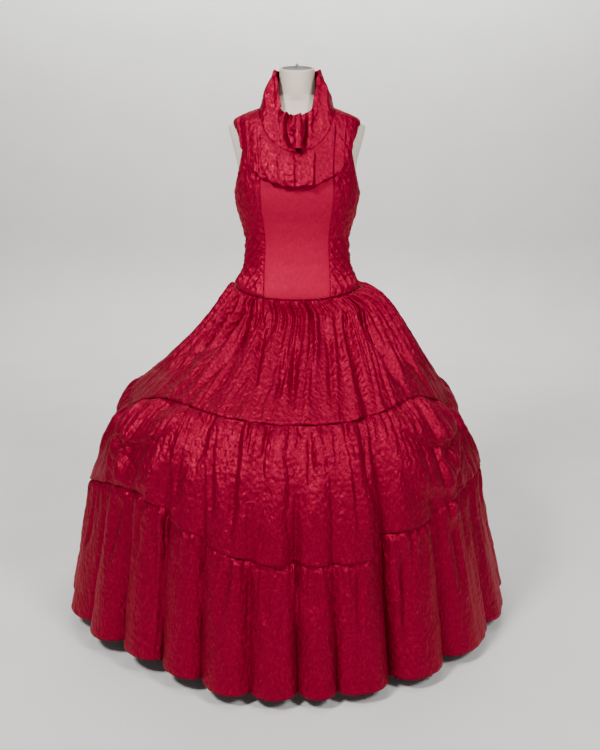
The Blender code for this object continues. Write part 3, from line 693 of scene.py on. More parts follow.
def grid_mesh(name, points, closed, uv_scale=(1.0, 1.0)):
    """A sheet through rows of points, with a UV map in metres along the cloth."""
    rows, columns = points.shape[:2]
    mesh = bpy.data.meshes.new(name)
    spans = columns if closed else columns - 1
    upper = np.arange(rows - 1)[:, None] * columns
    here, after = np.arange(spans), (np.arange(spans) + 1) % columns
    quads = np.stack(
        (upper + here, upper + columns + here, upper + columns + after, upper + after), axis=-1
    ).reshape(-1, 4)
    mesh.from_pydata(points.reshape(-1, 3).tolist(), [], quads.tolist())
    mesh.shade_smooth()
    uv = mesh.uv_layers.new(name="cloth")
    loops = np.zeros(len(mesh.loops), int)
    mesh.loops.foreach_get("vertex_index", loops)
    across = (loops % columns) / columns * uv_scale[0]
    down = (loops // columns) / max(rows - 1, 1) * uv_scale[1]
    uv.data.foreach_set("uv", np.stack((across, down), axis=-1).astype(np.float32).ravel())
    return mesh


def put(name, mesh, material):
    made = bpy.data.objects.new(name, mesh)
    bpy.context.scene.collection.objects.link(made)
    mesh.materials.append(material)
    return made


def cloth_piece(name, points, closed, material, uv_scale=(1.0, 1.0), wall=WALL):
    """One cloth piece that stands for its solid: the grid is its outer face."""
    made = put(name + "_cloth", grid_mesh(name + "_cloth", points, closed, uv_scale), material)
    shell = made.modifiers.new("wall", "SOLIDIFY")
    shell.thickness = wall
    shell.offset = -1.0
    shell.use_rim = True
    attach(made, "root")
    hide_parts(name)
    return made


class Shader:
    """Short calls for the nodes of one material."""

    def __init__(self, name):
        self.material = bpy.data.materials.get(name) or bpy.data.materials.new(name)
        self.material.use_nodes = True
        self.tree = self.material.node_tree
        self.out = self.tree.nodes["Principled BSDF"]
        self.place = self.node("ShaderNodeTexCoord").outputs["Object"]

    def node(self, kind, **settings):
        made = self.tree.nodes.new(kind)
        for key, value in settings.items():
            setattr(made, key, value)
        return made

    def link(self, source, target):
        self.tree.links.new(source, target)

    def noise(self, scale, detail=2.0, roughness=0.5, distortion=0.0, kind="FBM", place=None):
        made = self.node("ShaderNodeTexNoise", noise_type=kind)
        made.inputs["Scale"].default_value = scale
        made.inputs["Detail"].default_value = detail
        made.inputs["Roughness"].default_value = roughness
        made.inputs["Distortion"].default_value = distortion
        self.link(place or self.place, made.inputs["Vector"])
        return made.outputs["Fac"]

    def voronoi(self, scale, feature="F1", place=None):
        made = self.node("ShaderNodeTexVoronoi", feature=feature)
        made.inputs["Scale"].default_value = scale
        self.link(place or self.place, made.inputs["Vector"])
        return made.outputs["Distance"]

    def spread(self, value, low, high, to_low=0.0, to_high=1.0):
        made = self.node("ShaderNodeMapRange")
        for key, number in (("From Min", low), ("From Max", high), ("To Min", to_low), ("To Max", to_high)):
            made.inputs[key].default_value = number
        self.link(value, made.inputs["Value"])
        return made.outputs["Result"]

    def sum(self, first, second, share=1.0):
        """The first value plus a share of the second."""
        made = self.node("ShaderNodeMath", operation="MULTIPLY_ADD")
        self.link(second, made.inputs[0])
        made.inputs[1].default_value = share
        self.link(first, made.inputs[2])
        return made.outputs[0]

    def ramp(self, value, stops):
        made = self.node("ShaderNodeValToRGB")
        while len(made.color_ramp.elements) < len(stops):
            made.color_ramp.elements.new(0.5)
        for element, (position, colour) in zip(made.color_ramp.elements, stops):
            element.position = position
            element.color = (*colour, 1.0)
        self.link(value, made.inputs["Fac"])
        return made.outputs["Color"]

    def surface(self, colour, roughness):
        self.link(colour, self.out.inputs["Base Color"])
        self.link(roughness, self.out.inputs["Roughness"])

    def bumps(self, layers):
        """Bumps on top of each other, from (height value, depth in metres) pairs."""
        normal = None
        for height, depth in layers:
            made = self.node("ShaderNodeBump")
            made.inputs["Strength"].default_value = 1.0
            made.inputs["Distance"].default_value = depth
            self.link(height, made.inputs["Height"])
            if normal is not None:
                self.link(normal, made.inputs["Normal"])
            normal = made.outputs["Normal"]
        self.link(normal, self.out.inputs["Normal"])

    def settings(self, **values):
        for key, value in values.items():
            self.out.inputs[key.replace("_", " ")].default_value = value


def stretched(shader, scale):
    """Object coordinates with their axes scaled, so that creases can run more down than across."""
    made = shader.node("ShaderNodeMapping")
    made.inputs["Scale"].default_value = scale
    shader.link(shader.place, made.inputs["Vector"])
    return made.outputs["Vector"]


# Satin: its crimson, and how many of each mark there are to a metre, with their depths in metres
SATIN_COLOUR = (0.300, 0.0030, 0.030)
FLECKS = 170.0
FLECK_DEPTH = 0.0012
CREASES = 72.0
CREASE_DEPTH = 0.0026
FACETS = 110.0
FACET_DEPTH = 0.0026
THREADS = 1400.0
THREAD_DEPTH = 0.00010


def satin_material(name, gloss, depth, tone, metallic):
    """Crushed crimson satin: broken bright flecks on its creases, partly painted highlights, and a fine
    weave.
    """
    shader = Shader(name)
    tall = stretched(shader, (1.0, 1.0, 0.70))
    flecks = shader.noise(FLECKS, detail=3.0, roughness=0.62, distortion=0.25, place=tall)
    creases = shader.noise(
        CREASES, detail=3.0, roughness=0.55, distortion=0.40, kind="RIDGED_MULTIFRACTAL", place=tall
    )
    facets = shader.voronoi(FACETS, "SMOOTH_F1", tall)
    weave = shader.noise(THREADS, detail=1.0)
    cast = shader.sum(shader.spread(flecks, 0.36, 0.74), shader.spread(creases, 0.2, 1.2), 0.35)
    red, green, blue = [part * tone for part in SATIN_COLOUR]
    lively = min(depth, 1.0)
    # Colour from the flecks and crease ridges: the darker and lighter crimson is the cloth's own random
    # tone, and the top stop's brighter, paler pink is painted highlight on the crease ridges.
    colour = shader.ramp(
        cast,
        (
            (0.20, (red * (1 - 0.22 * lively), green * (1 - 0.4 * lively), blue * (1 - 0.25 * lively))),
            (0.80, (red * 1.04, green, blue)),
            (1.00, (red * (1 + 0.5 * lively), green * (1 + 0.9 * lively), blue * (1 + 0.9 * lively))),
        ),
    )
    shader.surface(colour, shader.spread(flecks, 0.3, 0.72, gloss + 0.08, gloss - 0.05))
    shader.bumps(
        (
            (creases, CREASE_DEPTH * depth),
            (facets, FACET_DEPTH * depth),
            (flecks, FLECK_DEPTH * depth),
            (weave, THREAD_DEPTH),
        )
    )
    shader.settings(
        Metallic=metallic,
        Specular_IOR_Level=0.22,
        Specular_Tint=(1.0, 0.16, 0.30, 1.0),
        Sheen_Weight=0.03,
        Sheen_Roughness=0.30,
        Sheen_Tint=(1.0, 0.20, 0.36, 1.0),
    )
    return shader.material


def cover_material():
    """The form's off-white cover: fine knit, with faint uneven toning."""
    shader = Shader("form_cover")
    knit = shader.noise(900.0, detail=2.0)
    toning = shader.noise(7.0, detail=3.0)
    colour = shader.ramp(toning, ((0.30, (0.68, 0.56, 0.46)), (0.72, (0.80, 0.69, 0.58))))
    shader.surface(colour, shader.spread(toning, 0.3, 0.7, 0.50, 0.62))
    shader.bumps(((toning, 0.0010), (knit, 0.00016)))
    shader.settings(Sheen_Weight=0.15)
    return shader.material


def metal_material(name, light, dark, gloss, metallic, grain):
    """Metal or its paint, with faint grain and uneven gloss."""
    shader = Shader(name)
    cloudy = shader.noise(24.0, detail=4.0, roughness=0.6)
    fine = shader.noise(grain, detail=2.0)
    colour = shader.ramp(cloudy, ((0.32, dark), (0.70, light)))
    shader.surface(colour, shader.spread(cloudy, 0.3, 0.7, gloss - 0.06, gloss + 0.10))
    shader.bumps(((fine, 0.00008),))
    shader.settings(Metallic=metallic)
    return shader.material


# Three copies of one satin, whose tones paint light and shade: the darker copy (0.94) on the skirt, ruffle
# and collar stands in for the shade among the skirt's folds,
# and the lighter copies on the bodice (1.15) and its calm front panel (1.34) stand in for the light they
# catch. The calm panel's duller gloss and shallower crinkle are its own.
SATIN = satin_material("crinkled_satin", gloss=0.45, depth=1.0, tone=0.94, metallic=0.50)
SATIN_PAINTED_LIGHTER = satin_material("crinkled_satin_bodice_painted_lighter", gloss=0.45, depth=1.0, tone=1.15, metallic=0.50)
SATIN_CALM = satin_material("calm_satin", gloss=0.64, depth=0.20, tone=1.34, metallic=0.20)
COVER = cover_material()
STEEL = metal_material("brushed_steel", (0.62, 0.62, 0.62), (0.45, 0.45, 0.46), 0.28, 1.0, 700.0)
BASE_PAINT = metal_material("base_paint", (0.74, 0.72, 0.69), (0.66, 0.64, 0.61), 0.46, 0.0, 300.0)
DARK_INSET = metal_material("neck_inset", (0.16, 0.155, 0.15), (0.10, 0.10, 0.10), 0.50, 0.0, 260.0)


# Skirt

TIER_EDGES = (TIER_1_EDGE, TIER_2_EDGE, HEM)
TIER_CREASES = (TIER_1_CREASES, TIER_2_CREASES, TIER_3_CREASES)

# Gathers of each tier: ridges round, how far each runs down in metres, and height
TIER_GATHERS = (
    ((54, 0.260, 0.0165), (92, 0.120, 0.0095), (150, 0.050, 0.0050)),
    ((40, 0.420, 0.0150), (84, 0.110, 0.0160), (150, 0.045, 0.0115)),
    ((44, 0.420, 0.0150), (98, 0.100, 0.0165), (160, 0.042, 0.0120)),
)
TIER_TUCKS = (0.0, WALL + 0.0012, WALL + 0.0014)
GATHER_SINK = 0.45
CREASE_STRENGTHS = (1.35, 1.3, 1.5)

# Cloth beside each pick-up is drawn in: angle, reach, middle tier, tiers it reaches, depth, and the share
# of its folds' height that it loses
DRAWN_ANGLE = PINCH_ANGLE + 2.0
DRAWN_REACH = 30.0
DRAWN_TIER = 1.15
DRAWN_TIERS = 0.75
DRAWN_IN = 0.010
DRAWN_CALM = 0.55

# Each tier's puff under its seam, and its edge: puckers, as for gathers, and a lip
PUFFS = (0.0, 0.0040, 0.0015)
PUFF_LENGTH = 0.100
EDGE_PUCKERS = (190, 0.018, 0.0022)
EDGE_PUCKER_SINK = 0.4
EDGE_SLANT = 1.2
EDGE_LIP = 0.0010
EDGE_LIP_LENGTH = 0.005
HEM_WAVE = 0.004

# Stretches down the cloth from a seam, in metres, over which a tier's forms set in or end
CLOTH_SLANT = 1.25
TUCK_ENDS = (-0.004, 0.022)
PUFF_STARTS = (0.0, 0.035)
GATHERS_START = (-0.001, 0.012)
WAIST_ENDS = (0.0, 0.045)
CRINKLES_START = (0.0, 0.03)

# Height, size and seed of each crinkle, and where the cowls calm it
SKIRT_CRINKLES = ((0.0017, 0.034, 1.0), (0.0010, 0.016, 2.0))
CALM_COWL_ANGLE = 60.0
CALM_COWL_REACH = 26.0
CALM_COWL_SHARE = 0.6

# Flat cuts of the tiers: length round the edge, and depth
TIER_CUTS = ((2.90, 0.35), (4.10, 0.32), (4.90, 0.34))


def tier_level(number, degrees):
    """The level of the waist seam, and after it of each tier's edge."""
    if number == 0:
        return waist_z(degrees)
    return looked_up(TIER_EDGES[number - 1], turn_between(degrees, 0.0))[0]


def gather_relief(number, degrees, z, run):
    """A tier's gathers and its listed creases, as height square to the skirt."""
    radius = looked_up(SKIRT_SECTIONS, z)[0]
    relief = np.zeros_like(z)
    opened = smooth_step(run, *GATHERS_START)
    for order, (count, length, height) in enumerate(TIER_GATHERS[number]):
        ridge = gather_ridges(degrees, np.maximum(run, 0.0), count, length, seed=11 * number + 3 * order + 5)
        relief = relief + height * opened * (ridge - GATHER_SINK * np.exp(-run / length))
    for crease in TIER_CREASES[number]:
        relief = relief - CREASE_STRENGTHS[number] * crease_line(degrees, z, radius, crease)
    return relief


def flap_relief(degrees, z):
    """The creases that run out from each pick-up, and the ridge of its flap."""
    radius = looked_up(SKIRT_SECTIONS, z)[0]
    relief = np.zeros_like(z)
    for seen_from_side in (degrees, -degrees):
        for crease in PINCH_CREASES:
            relief = relief - crease_line(seen_from_side, z, radius, crease)
        relief = relief + crease_line(seen_from_side, z, radius, FLAP_RIDGE, 0.0)
    return relief


def edge_relief(number, degrees, above_edge, share):
    """Puckers and a lip along an upper tier's edge, or the waves of the hem."""
    if number == 2:
        waves = wobble(degrees, seed=91, slowest=20, fastest=47) - 0.5
        return HEM_WAVE * waves * smooth_step(share, 0.5, 1.0)
    count, length, height = EDGE_PUCKERS
    puckers = gather_ridges(degrees, above_edge * EDGE_SLANT, count, length, seed=71 + number)
    lip = EDGE_LIP * (1 - smooth_step(above_edge, 0.0, EDGE_LIP_LENGTH))
    return height * (puckers - EDGE_PUCKER_SINK) + lip


def tier_points(number):
    """The outer face of one gathered tier, from its seam down to its edge."""
    degrees, share = round_grid(SKIRT_COLUMNS, np.linspace(0.0, 1.0, SKIRT_ROWS + 1) ** SKIRT_ROW_SPREAD)
    top, edge = tier_level(number, degrees), tier_level(number + 1, degrees)
    start = top + (LAP if number else 0.0)
    z = blend(start, edge, share)
    tier = number + np.clip((top - z) / (top - edge), 0.0, 1.0)
    run = (top - z) * CLOTH_SLANT
    out, pull, droop = drape_out(degrees, z, tier)
    if number:
        puff = smooth_step(run, *PUFF_STARTS) * np.exp(-((np.maximum(run, 0.0) / PUFF_LENGTH) ** 2))
        out = out - TIER_TUCKS[number] * (1 - smooth_step(run, *TUCK_ENDS)) + PUFFS[number] * puff
    relief = gather_relief(number, degrees, z, run)
    from_front = np.abs(turn_between(degrees, 0.0))
    if number < 2:
        drawn = bump(from_front, DRAWN_ANGLE, DRAWN_REACH) * bump(tier, DRAWN_TIER, DRAWN_TIERS)
        relief = relief * (1 - DRAWN_CALM * drawn)
        out = out - DRAWN_IN * drawn
    lively = smooth_step(run, *CRINKLES_START)
    if number == 1:
        relief = relief + flap_relief(degrees, z)
        lively = lively * (1 - CALM_COWL_SHARE * bump(from_front, CALM_COWL_ANGLE, CALM_COWL_REACH))
    relief = relief + edge_relief(number, degrees, z - edge, share)
    points = skirt_surface(degrees + pull, z, out)
    points[..., 2] -= droop
    if number == 0:
        ring = body_point(degrees, top)
        plain = skirt_surface(degrees, top, 0.0)
        points[..., :2] += ((ring - plain) * (1 - smooth_step(run, *WAIST_ENDS))[..., None])[..., :2]
    relief = relief + crinkles(points, SKIRT_CRINKLES) * lively
    points += skirt_normal(degrees, z) * relief[..., None]
    return points


def build_skirt():
    """Three gathered tiers, each over the top of the next."""
    for number, (width, length) in enumerate(TIER_CUTS):
        name = f"skirt_tier_{number + 1}"
        made = cloth_piece(name, tier_points(number), True, SATIN, (width, length))


# Bodice

# Share of a panel's rows that lies under the armpit, and under the neckline
ARMPIT_SHARE = 0.5
NECKLINE_SHARE = 0.79

# Ruching on the side fronts: height, slant, pitch, then swing, swings to a metre and start of its unevenness
SHORT_GATHERS = (0.0022, -0.55, 0.0125, 2.4, 61.0, 0.0)
SLANTED_FOLDS = (0.0036, 0.95, 0.034, 1.3, 37.0, 0.7)
SHORT_GATHER_LENGTH = 0.011
SLANTED_FOLD_START = (0.002, 0.014)
SHORT_GATHER_LEVELS = ((0.935, 0.975), (1.085, 1.150))
SLANTED_FOLD_LEVELS = ((0.925, 0.950), (1.035, 1.110))

# Sewn edges: how far in the cloth lies calm, and the stitches' height, pitch, distance in and reach
CALM_EDGE = 0.012
STITCH_HEIGHT = 0.0005
STITCH_PITCH = 0.0042
STITCH_IN = 0.0045
STITCH_REACH = 0.003
CALM_SHOULDER = (1.30, 1.38)
CALM_SHOULDER_SHARE = 0.6

# Panels: flat cut across and up, area of the shaped cut, and how lively its crinkle is
FRONT_CUT = ((0.21, 0.43), 0.075, 0.45)
SIDE_FRONT_CUT = ((0.19, 0.50), 0.052, 2.4)
BACK_CUT = ((0.22, 0.50), 0.085, 1.4)


def panel_edges(side_edge, middle_edge, foot, top):
    """A panel's grid of angles and levels inside its four edges."""
    up = np.linspace(1.0, 0.0, PANEL_UP + 1)
    across = np.linspace(0.0, 1.0, PANEL_ACROSS + 1)
    left, right = side_edge(up), middle_edge(up)
    low, high = foot(across), top(across)
    sides = left[:, None] + (right - left)[:, None] * across[None, :, None]
    ends = low[None] + (high - low)[None] * up[:, None, None]
    foot_line = left[-1] + (right[-1] - left[-1]) * across[:, None]
    top_line = left[0] + (right[0] - left[0]) * across[:, None]
    corners = foot_line[None] + (top_line - foot_line)[None] * up[:, None, None]
    return sides + ends - corners


def pairs(degrees, z):
    return np.stack(np.broadcast_arrays(degrees, z), axis=-1)


def edge_level(share, low, high, knee, knee_share):
    """Levels up an edge that is evenly divided below its knee and above it."""
    lower = blend(low, knee, share / knee_share)
    upper = blend(knee, high, (share - knee_share) / (1 - knee_share))
    return np.where(share < knee_share, lower, upper)


def side_edge(up, facing_front):
    """The side seam up to the armpit, then the armhole's edge."""
    z = edge_level(up, WAIST_SIDE_Z, SHOULDER_TIP_Z, ARMPIT_Z, ARMPIT_SHARE)
    return pairs(angle_at_depth(armhole_depth(z), z, facing_front), z)


def princess_edge(up):
    """The princess seam up to the neckline, then the neckline up to the neck's side."""
    knee = neck_front_z(PRINCESS_X)
    foot_angle = angle_at_side(princess_x(WAIST_SIDE_Z), WAIST_SIDE_Z)
    z = edge_level(up, waist_z(foot_angle), NECK_SIDE_Z, knee, NECKLINE_SHARE)
    seam = angle_at_side(princess_x(z), z)
    start = angle_at_side(princess_x(knee), knee)
    return pairs(np.where(z <= knee, seam, blend(start, 90.0, (z - knee) / (NECK_SIDE_Z - knee))), z)


def waist_edge(start, end):
    return lambda share: pairs(blend(start, end, share), waist_z(blend(start, end, share)))


def front_grid():
    up = np.linspace(1.0, 0.0, PANEL_UP + 1)[:, None]
    across = np.linspace(-1.0, 1.0, PANEL_ACROSS + 1)[None]
    x = across * princess_x(blend(WAIST_SIDE_Z, NECK_FRONT_Z, up))
    z = blend(waist_z(angle_at_side(x, WAIST_SIDE_Z)), neck_front_z(x), up)
    x = across * princess_x(z)
    return pairs(np.sign(x) * angle_at_side(x, z), z)


def side_front_grid():
    def outer(up):
        return side_edge(up, True)

    def top(share):
        return pairs(90.0, blend(NECK_SIDE_Z, SHOULDER_TIP_Z, share))

    foot = waist_edge(princess_edge(np.zeros(1))[0, 0], outer(np.zeros(1))[0, 0])
    return panel_edges(princess_edge, outer, foot, top)


def back_grid():
    def outer(up):
        return side_edge(up, False)

    def middle(up):
        return pairs(180.0, blend(WAIST_SIDE_Z, NECK_BACK_Z, up))

    def top(share):
        along = np.clip((share - 0.5) / 0.5, 0.0, 1.0)
        rising = blend(SHOULDER_TIP_Z, NECK_SIDE_Z, np.clip(share / 0.5, 0.0, 1.0))
        falling = blend(NECK_SIDE_Z, NECK_BACK_Z, along)
        return pairs(blend(90.0, 180.0, along), np.where(share <= 0.5, rising, falling))

    foot = waist_edge(outer(np.zeros(1))[0, 0], 180.0)
    return panel_edges(outer, middle, foot, top)


def slanted_waves(z, away, levels, height, slant, pitch, swing, per_metre, start):
    """Uneven slanted folds between the lower and the upper of two spans of levels."""
    wave = np.sin((z + away * slant) * 2 * np.pi / pitch + swing * np.sin(z * per_metre + start))
    return height * wave * (smooth_step(z, *levels[0]) * (1 - smooth_step(z, *levels[1])))


def ruching(grid, seam_column):
    """Short gathers along the princess seam, and the diagonal folds that leave it for the hip."""
    degrees, z = grid[..., 0], grid[..., 1]
    seam = degrees[:, seam_column][:, None]
    half_width = looked_up(BODY_SECTIONS, z)[0]
    away = np.abs(np.radians(degrees - seam)) * half_width
    short = slanted_waves(z, away, SHORT_GATHER_LEVELS, *SHORT_GATHERS) * np.exp(-away / SHORT_GATHER_LENGTH)
    slanted = slanted_waves(z, away, SLANTED_FOLD_LEVELS, *SLANTED_FOLDS)
    return short + slanted * smooth_step(away, *SLANTED_FOLD_START)


def groove(shares):
    """A sewn edge turns in over its last few millimetres."""
    return SEAM_GROOVE * (1 - smooth_step(shares, 0.0, SEAM_GROOVE_WIDTH))


def panel_piece(name, grid, material, cut, extra=0.0, mirror=False):
    """One bodice panel with sewn edges, a little crinkle and its own folds."""
    flat, area, liveliness = cut
    degrees, z = grid[..., 0], grid[..., 1]
    plain = body_point(degrees, z)
    widths = np.linalg.norm(np.diff(plain, axis=1), axis=-1).cumsum(axis=1)
    widths = np.concatenate((np.zeros((len(widths), 1)), widths), axis=1)
    heights = np.linalg.norm(np.diff(plain, axis=0), axis=-1).cumsum(axis=0)
    heights = np.concatenate((np.zeros((1, heights.shape[1])), heights), axis=0)
    near_side = np.minimum(widths, widths[:, -1:] - widths)
    near_end = np.minimum(heights, heights[-1:] - heights)
    out = -groove(near_side) - groove(near_end)
    seed = 5.0 if mirror else 3.0
    inner = smooth_step(near_side, 0.0, CALM_EDGE) * smooth_step(near_end, 0.0, CALM_EDGE)
    lower = 1 - CALM_SHOULDER_SHARE * smooth_step(z, *CALM_SHOULDER)
    rough = crinkles(plain, ((0.0011, 0.030, seed), (0.0008, 0.014, seed + 1)))
    out = out + liveliness * rough * inner * lower
    stitches = STITCH_HEIGHT * np.sin(heights * 2 * np.pi / STITCH_PITCH)
    out = out + stitches * bump(near_side, STITCH_IN, STITCH_REACH)
    points = raised_point(degrees, z, out + extra)
    if mirror:
        points = points[:, ::-1] * np.array((-1.0, 1.0, 1.0))
    made = cloth_piece(name, points, False, material, flat)


def build_bodice():
    panel_piece("bodice_front", front_grid(), SATIN_CALM, FRONT_CUT)
    grid = side_front_grid()
    folds = ruching(grid, 0)
    for side, mirror in (("left", False), ("right", True)):
        panel_piece(f"bodice_side_front_{side}", grid, SATIN_PAINTED_LIGHTER, SIDE_FRONT_CUT, folds, mirror)
    for side, mirror in (("left", False), ("right", True)):
        panel_piece(f"bodice_back_{side}", back_grid(), SATIN_PAINTED_LIGHTER, BACK_CUT, mirror=mirror)


# Ruffle and collar

# Ruffle: flat cut, its map, where a pleat turns under, how much the pleats differ, and how the edge waves
# and lifts
RUFFLE_MAP = (1.10, 0.12)
RUFFLE_WALL = 0.0014
RUFFLE_UNDER_NECKLINE = 0.001
PLEAT_TURN = 0.90
PLEAT_CURVE = 1.2
PLEAT_UNEVENNESS = 0.42
PLEAT_LEAST_HEIGHT = 0.65
PLEAT_SINK = 0.35
RUFFLE_SCALLOP = 0.004
RUFFLE_PLEAT_STEP = 0.002
RUFFLE_LIFT = 0.005
RUFFLE_LEAST_LIFT = 0.001
RUFFLE_FALL = 0.35
RUFFLE_CRINKLES = ((0.0010, 0.022, 7.0), (0.0006, 0.011, 8.0))

# Where down the ruffle its forms start, as shares of its depth, and how it lies flat over the shoulder
PLEATS_OPEN = (0.0, 0.35)
PLEATS_AT_SEAM = 0.55
LIFT_STARTS = (0.45, 1.0)
RUFFLE_CRINKLES_START = (0.0, 0.2)
SHOULDER_ANGLE = 88.0
SHOULDER_REACH = 42.0
SHOULDER_FLATNESS = 0.75
SHOULDER_FLAT_REACH = 34.0

# Collar: flat cut, area of the shaped cut, and the waves round it, each with its height, its count in a full
# turn, how it climbs the collar and where it starts. The broad waves don't climb
COLLAR_CUT = (0.62, 0.13)
COLLAR_WALL = 0.0014
COLLAR_BELLY = 0.001
COLLAR_BROAD_WAVES = (0.0035, 7, 0.4)
COLLAR_CREASES = (0.0028, 13, 2.2, 0.0)
COLLAR_SLANTS = (0.0035, 6, -7.0, 0.0)
COLLAR_EDGE_WAVES = (0.0022, 31, 0.0, 1.0)
COLLAR_FRILL = (0.006, 58, 0.0, 0.0)
FRILL_ANGLES = (-17.0, 15.0)
COLLAR_CURL = 0.010
CURL_ANGLES = (-18.0, 14.0)
COLLAR_CRINKLES = ((0.0009, 0.018, 9.0),)

# Shares of the collar's height over which its frill, its curl and its edge's waves grow
FRILL_SPAN = (0.55, 1.0)
CURL_SPAN = (0.70, 1.0)
EDGE_WAVE_SPAN = (0.8, 1.0)
FRILL_RISE = 0.5

# The V-shaped pocket beside the roll: middle, half widths at its foot and top in degrees, how its sides bow,
# slope in degrees, depth in metres, and the lip beside it: height, middle and reach
POCKET_ANGLE = -1.0
POCKET_HALF_WIDTHS = (4.0, 20.0)
POCKET_BOW = 0.8
POCKET_SLOPE = 4.0
POCKET_DEPTH = 0.015
POCKET_SPAN = (0.03, 0.20)
POCKET_LIP = 0.0040
POCKET_LIP_PLACE = (2.5, 4.5)
POCKET_LIP_SPAN = (0.05, 0.3)

# The roll: flat cut, its map, radii, the angles its winding starts and ends at, and how much it tightens
ROLL_MAP = (0.07, 0.10)
ROLL_WALL = 0.0012
ROLL_RADIUS_TOP = 0.0090
ROLL_RADIUS_FOOT = 0.0135
ROLL_ANGLES = (-60.0, 430.0)
ROLL_TIGHTENING = 0.42
ROLL_TIGHTENS = (0.52, 1.0)
ROLL_LIP = 0.0025
ROLL_LIP_SPAN = (0.0, 0.10)
ROLL_RIPPLES = (0.0006, 23, 9)
ROLL_FOOT_SHARE = 0.06
ROLL_ASIDE = 0.003
ROLL_SEAT_LAP = 0.0001
ROLL_UP = 0.002
ROLL_SPIRAL_RISE = 0.006
ROLL_RIM_WAVE = 0.003
ROLL_TURNS = 90
ROLL_LEVELS = 40


def build_ruffle():
    """The falling ruffle: flat pleats that fan out from the neckline, each lapped over the next."""
    start, down = round_grid(RUFFLE_COLUMNS, np.linspace(0.0, 1.0, RUFFLE_ROWS + 1))
    signed = turn_between(start, 0.0)
    edge_degrees, edge_z = looked_up(RUFFLE_EDGE, np.abs(signed))
    drift = wobble(start, seed=31, slowest=3, fastest=9) - 0.5
    phase = RUFFLE_PLEATS * start / 360.0 + PLEAT_UNEVENNESS * drift
    within = phase - np.floor(phase)
    rising = (within / PLEAT_TURN) ** PLEAT_CURVE
    pleat = np.where(within < PLEAT_TURN, rising, (1 - within) / (1 - PLEAT_TURN))
    heights = wobble(start, seed=33, slowest=8, fastest=19)
    pleat = pleat * (PLEAT_LEAST_HEIGHT + (1 - PLEAT_LEAST_HEIGHT) * heights)
    degrees = blend(signed, np.copysign(edge_degrees, signed), down)
    edge_waves = wobble(start, seed=35, slowest=12, fastest=34) - 0.5
    scallop = RUFFLE_SCALLOP * edge_waves + RUFFLE_PLEAT_STEP * (pleat - 0.5)
    z = blend(neckline_z(signed) - RUFFLE_UNDER_NECKLINE, edge_z + scallop, down)
    opened = smooth_step(down, *PLEATS_OPEN) * blend(PLEATS_AT_SEAM, 1.0, down)
    rise = RUFFLE_PLEAT_HEIGHT * (pleat - PLEAT_SINK) * opened
    lift = RUFFLE_LIFT * (wobble(start, seed=37, slowest=5, fastest=12) - 0.3)
    lift = np.maximum(lift * smooth_step(down, *LIFT_STARTS), -RUFFLE_LEAST_LIFT)
    near_shoulder = bump(np.abs(signed), SHOULDER_ANGLE, SHOULDER_REACH)
    edge_out = blend(RUFFLE_OUT_EDGE, RUFFLE_OUT_SHOULDER, near_shoulder)
    flat = 1 - SHOULDER_FLATNESS * bump(np.abs(signed), SHOULDER_ANGLE, SHOULDER_FLAT_REACH)
    out = blend(RUFFLE_OUT_TOP, edge_out, down**RUFFLE_FALL) + (rise + lift) * flat
    plain = body_point(degrees, z)
    rough = crinkles(plain, RUFFLE_CRINKLES)
    points = raised_point(degrees, z, out + rough * smooth_step(down, *RUFFLE_CRINKLES_START))
    made = cloth_piece("collar_ruffle", points, True, SATIN, RUFFLE_MAP, RUFFLE_WALL)


def collar_surface(degrees, up):
    """The standing collar from its seam at the neckline to its top edge."""
    signed = turn_between(degrees, 0.0)
    side, forward, top_z = looked_up(COLLAR_TOP, np.abs(signed))
    theta = np.radians(signed)
    top = stacked(np.sign(np.sin(theta)) * side, -forward, top_z)
    foot = body_point(signed, neckline_z(signed), COLLAR_OUT)
    foot[..., 2] += COLLAR_LIFT
    outward = stacked(np.sin(theta), -np.cos(theta), 0.0 * theta)
    belly = COLLAR_BELLY * np.sin(np.pi * up)
    height, count, start = COLLAR_BROAD_WAVES
    wave = height * np.cos(count * theta + start) * bump(up, 0.60, 0.60)
    return foot + (top - foot) * up[..., None] + outward * (belly + wave)[..., None], outward


def collar_wave(degrees, up, height, count, climb, start):
    return height * np.sin(np.radians(degrees) * count + climb * up + start)


def build_collar():
    """The standing collar with its soft creases, a frilled front edge and a dark pocket beside the roll."""
    degrees, up = round_grid(COLLAR_COLUMNS, np.linspace(1.0, 0.0, COLLAR_ROWS + 1))
    signed = turn_between(degrees, 0.0)
    points, outward = collar_surface(degrees, up)
    creases = collar_wave(signed, up, *COLLAR_CREASES) * bump(up, 0.55, 0.55)
    slants = collar_wave(np.abs(signed), up, *COLLAR_SLANTS) * bump(up, 0.5, 0.5)
    opening = np.abs(signed - POCKET_ANGLE) - blend(*POCKET_HALF_WIDTHS, up**POCKET_BOW)
    sunk = -POCKET_DEPTH * (1 - smooth_step(opening, -POCKET_SLOPE, 0.0)) * smooth_step(up, *POCKET_SPAN)
    pocket = sunk + POCKET_LIP * bump(opening, *POCKET_LIP_PLACE) * smooth_step(up, *POCKET_LIP_SPAN)
    frill = collar_wave(signed, up, *COLLAR_FRILL) * bump(signed, *FRILL_ANGLES)
    frill = frill * smooth_step(up, *FRILL_SPAN)
    curl = COLLAR_CURL * bump(signed, *CURL_ANGLES) * smooth_step(up, *CURL_SPAN) ** 2
    edge_waves = collar_wave(signed, up, *COLLAR_EDGE_WAVES) * smooth_step(up, *EDGE_WAVE_SPAN)
    out = creases + slants + pocket + frill + curl + edge_waves
    points = points + outward * out[..., None]
    points[..., 2] += frill * FRILL_RISE
    rough = crinkles(points, COLLAR_CRINKLES)
    points = points + outward * (rough * smooth_step(up, 0.0, 0.1))[..., None]
    made = cloth_piece("collar_stand", points, True, SATIN, COLLAR_CUT, COLLAR_WALL)


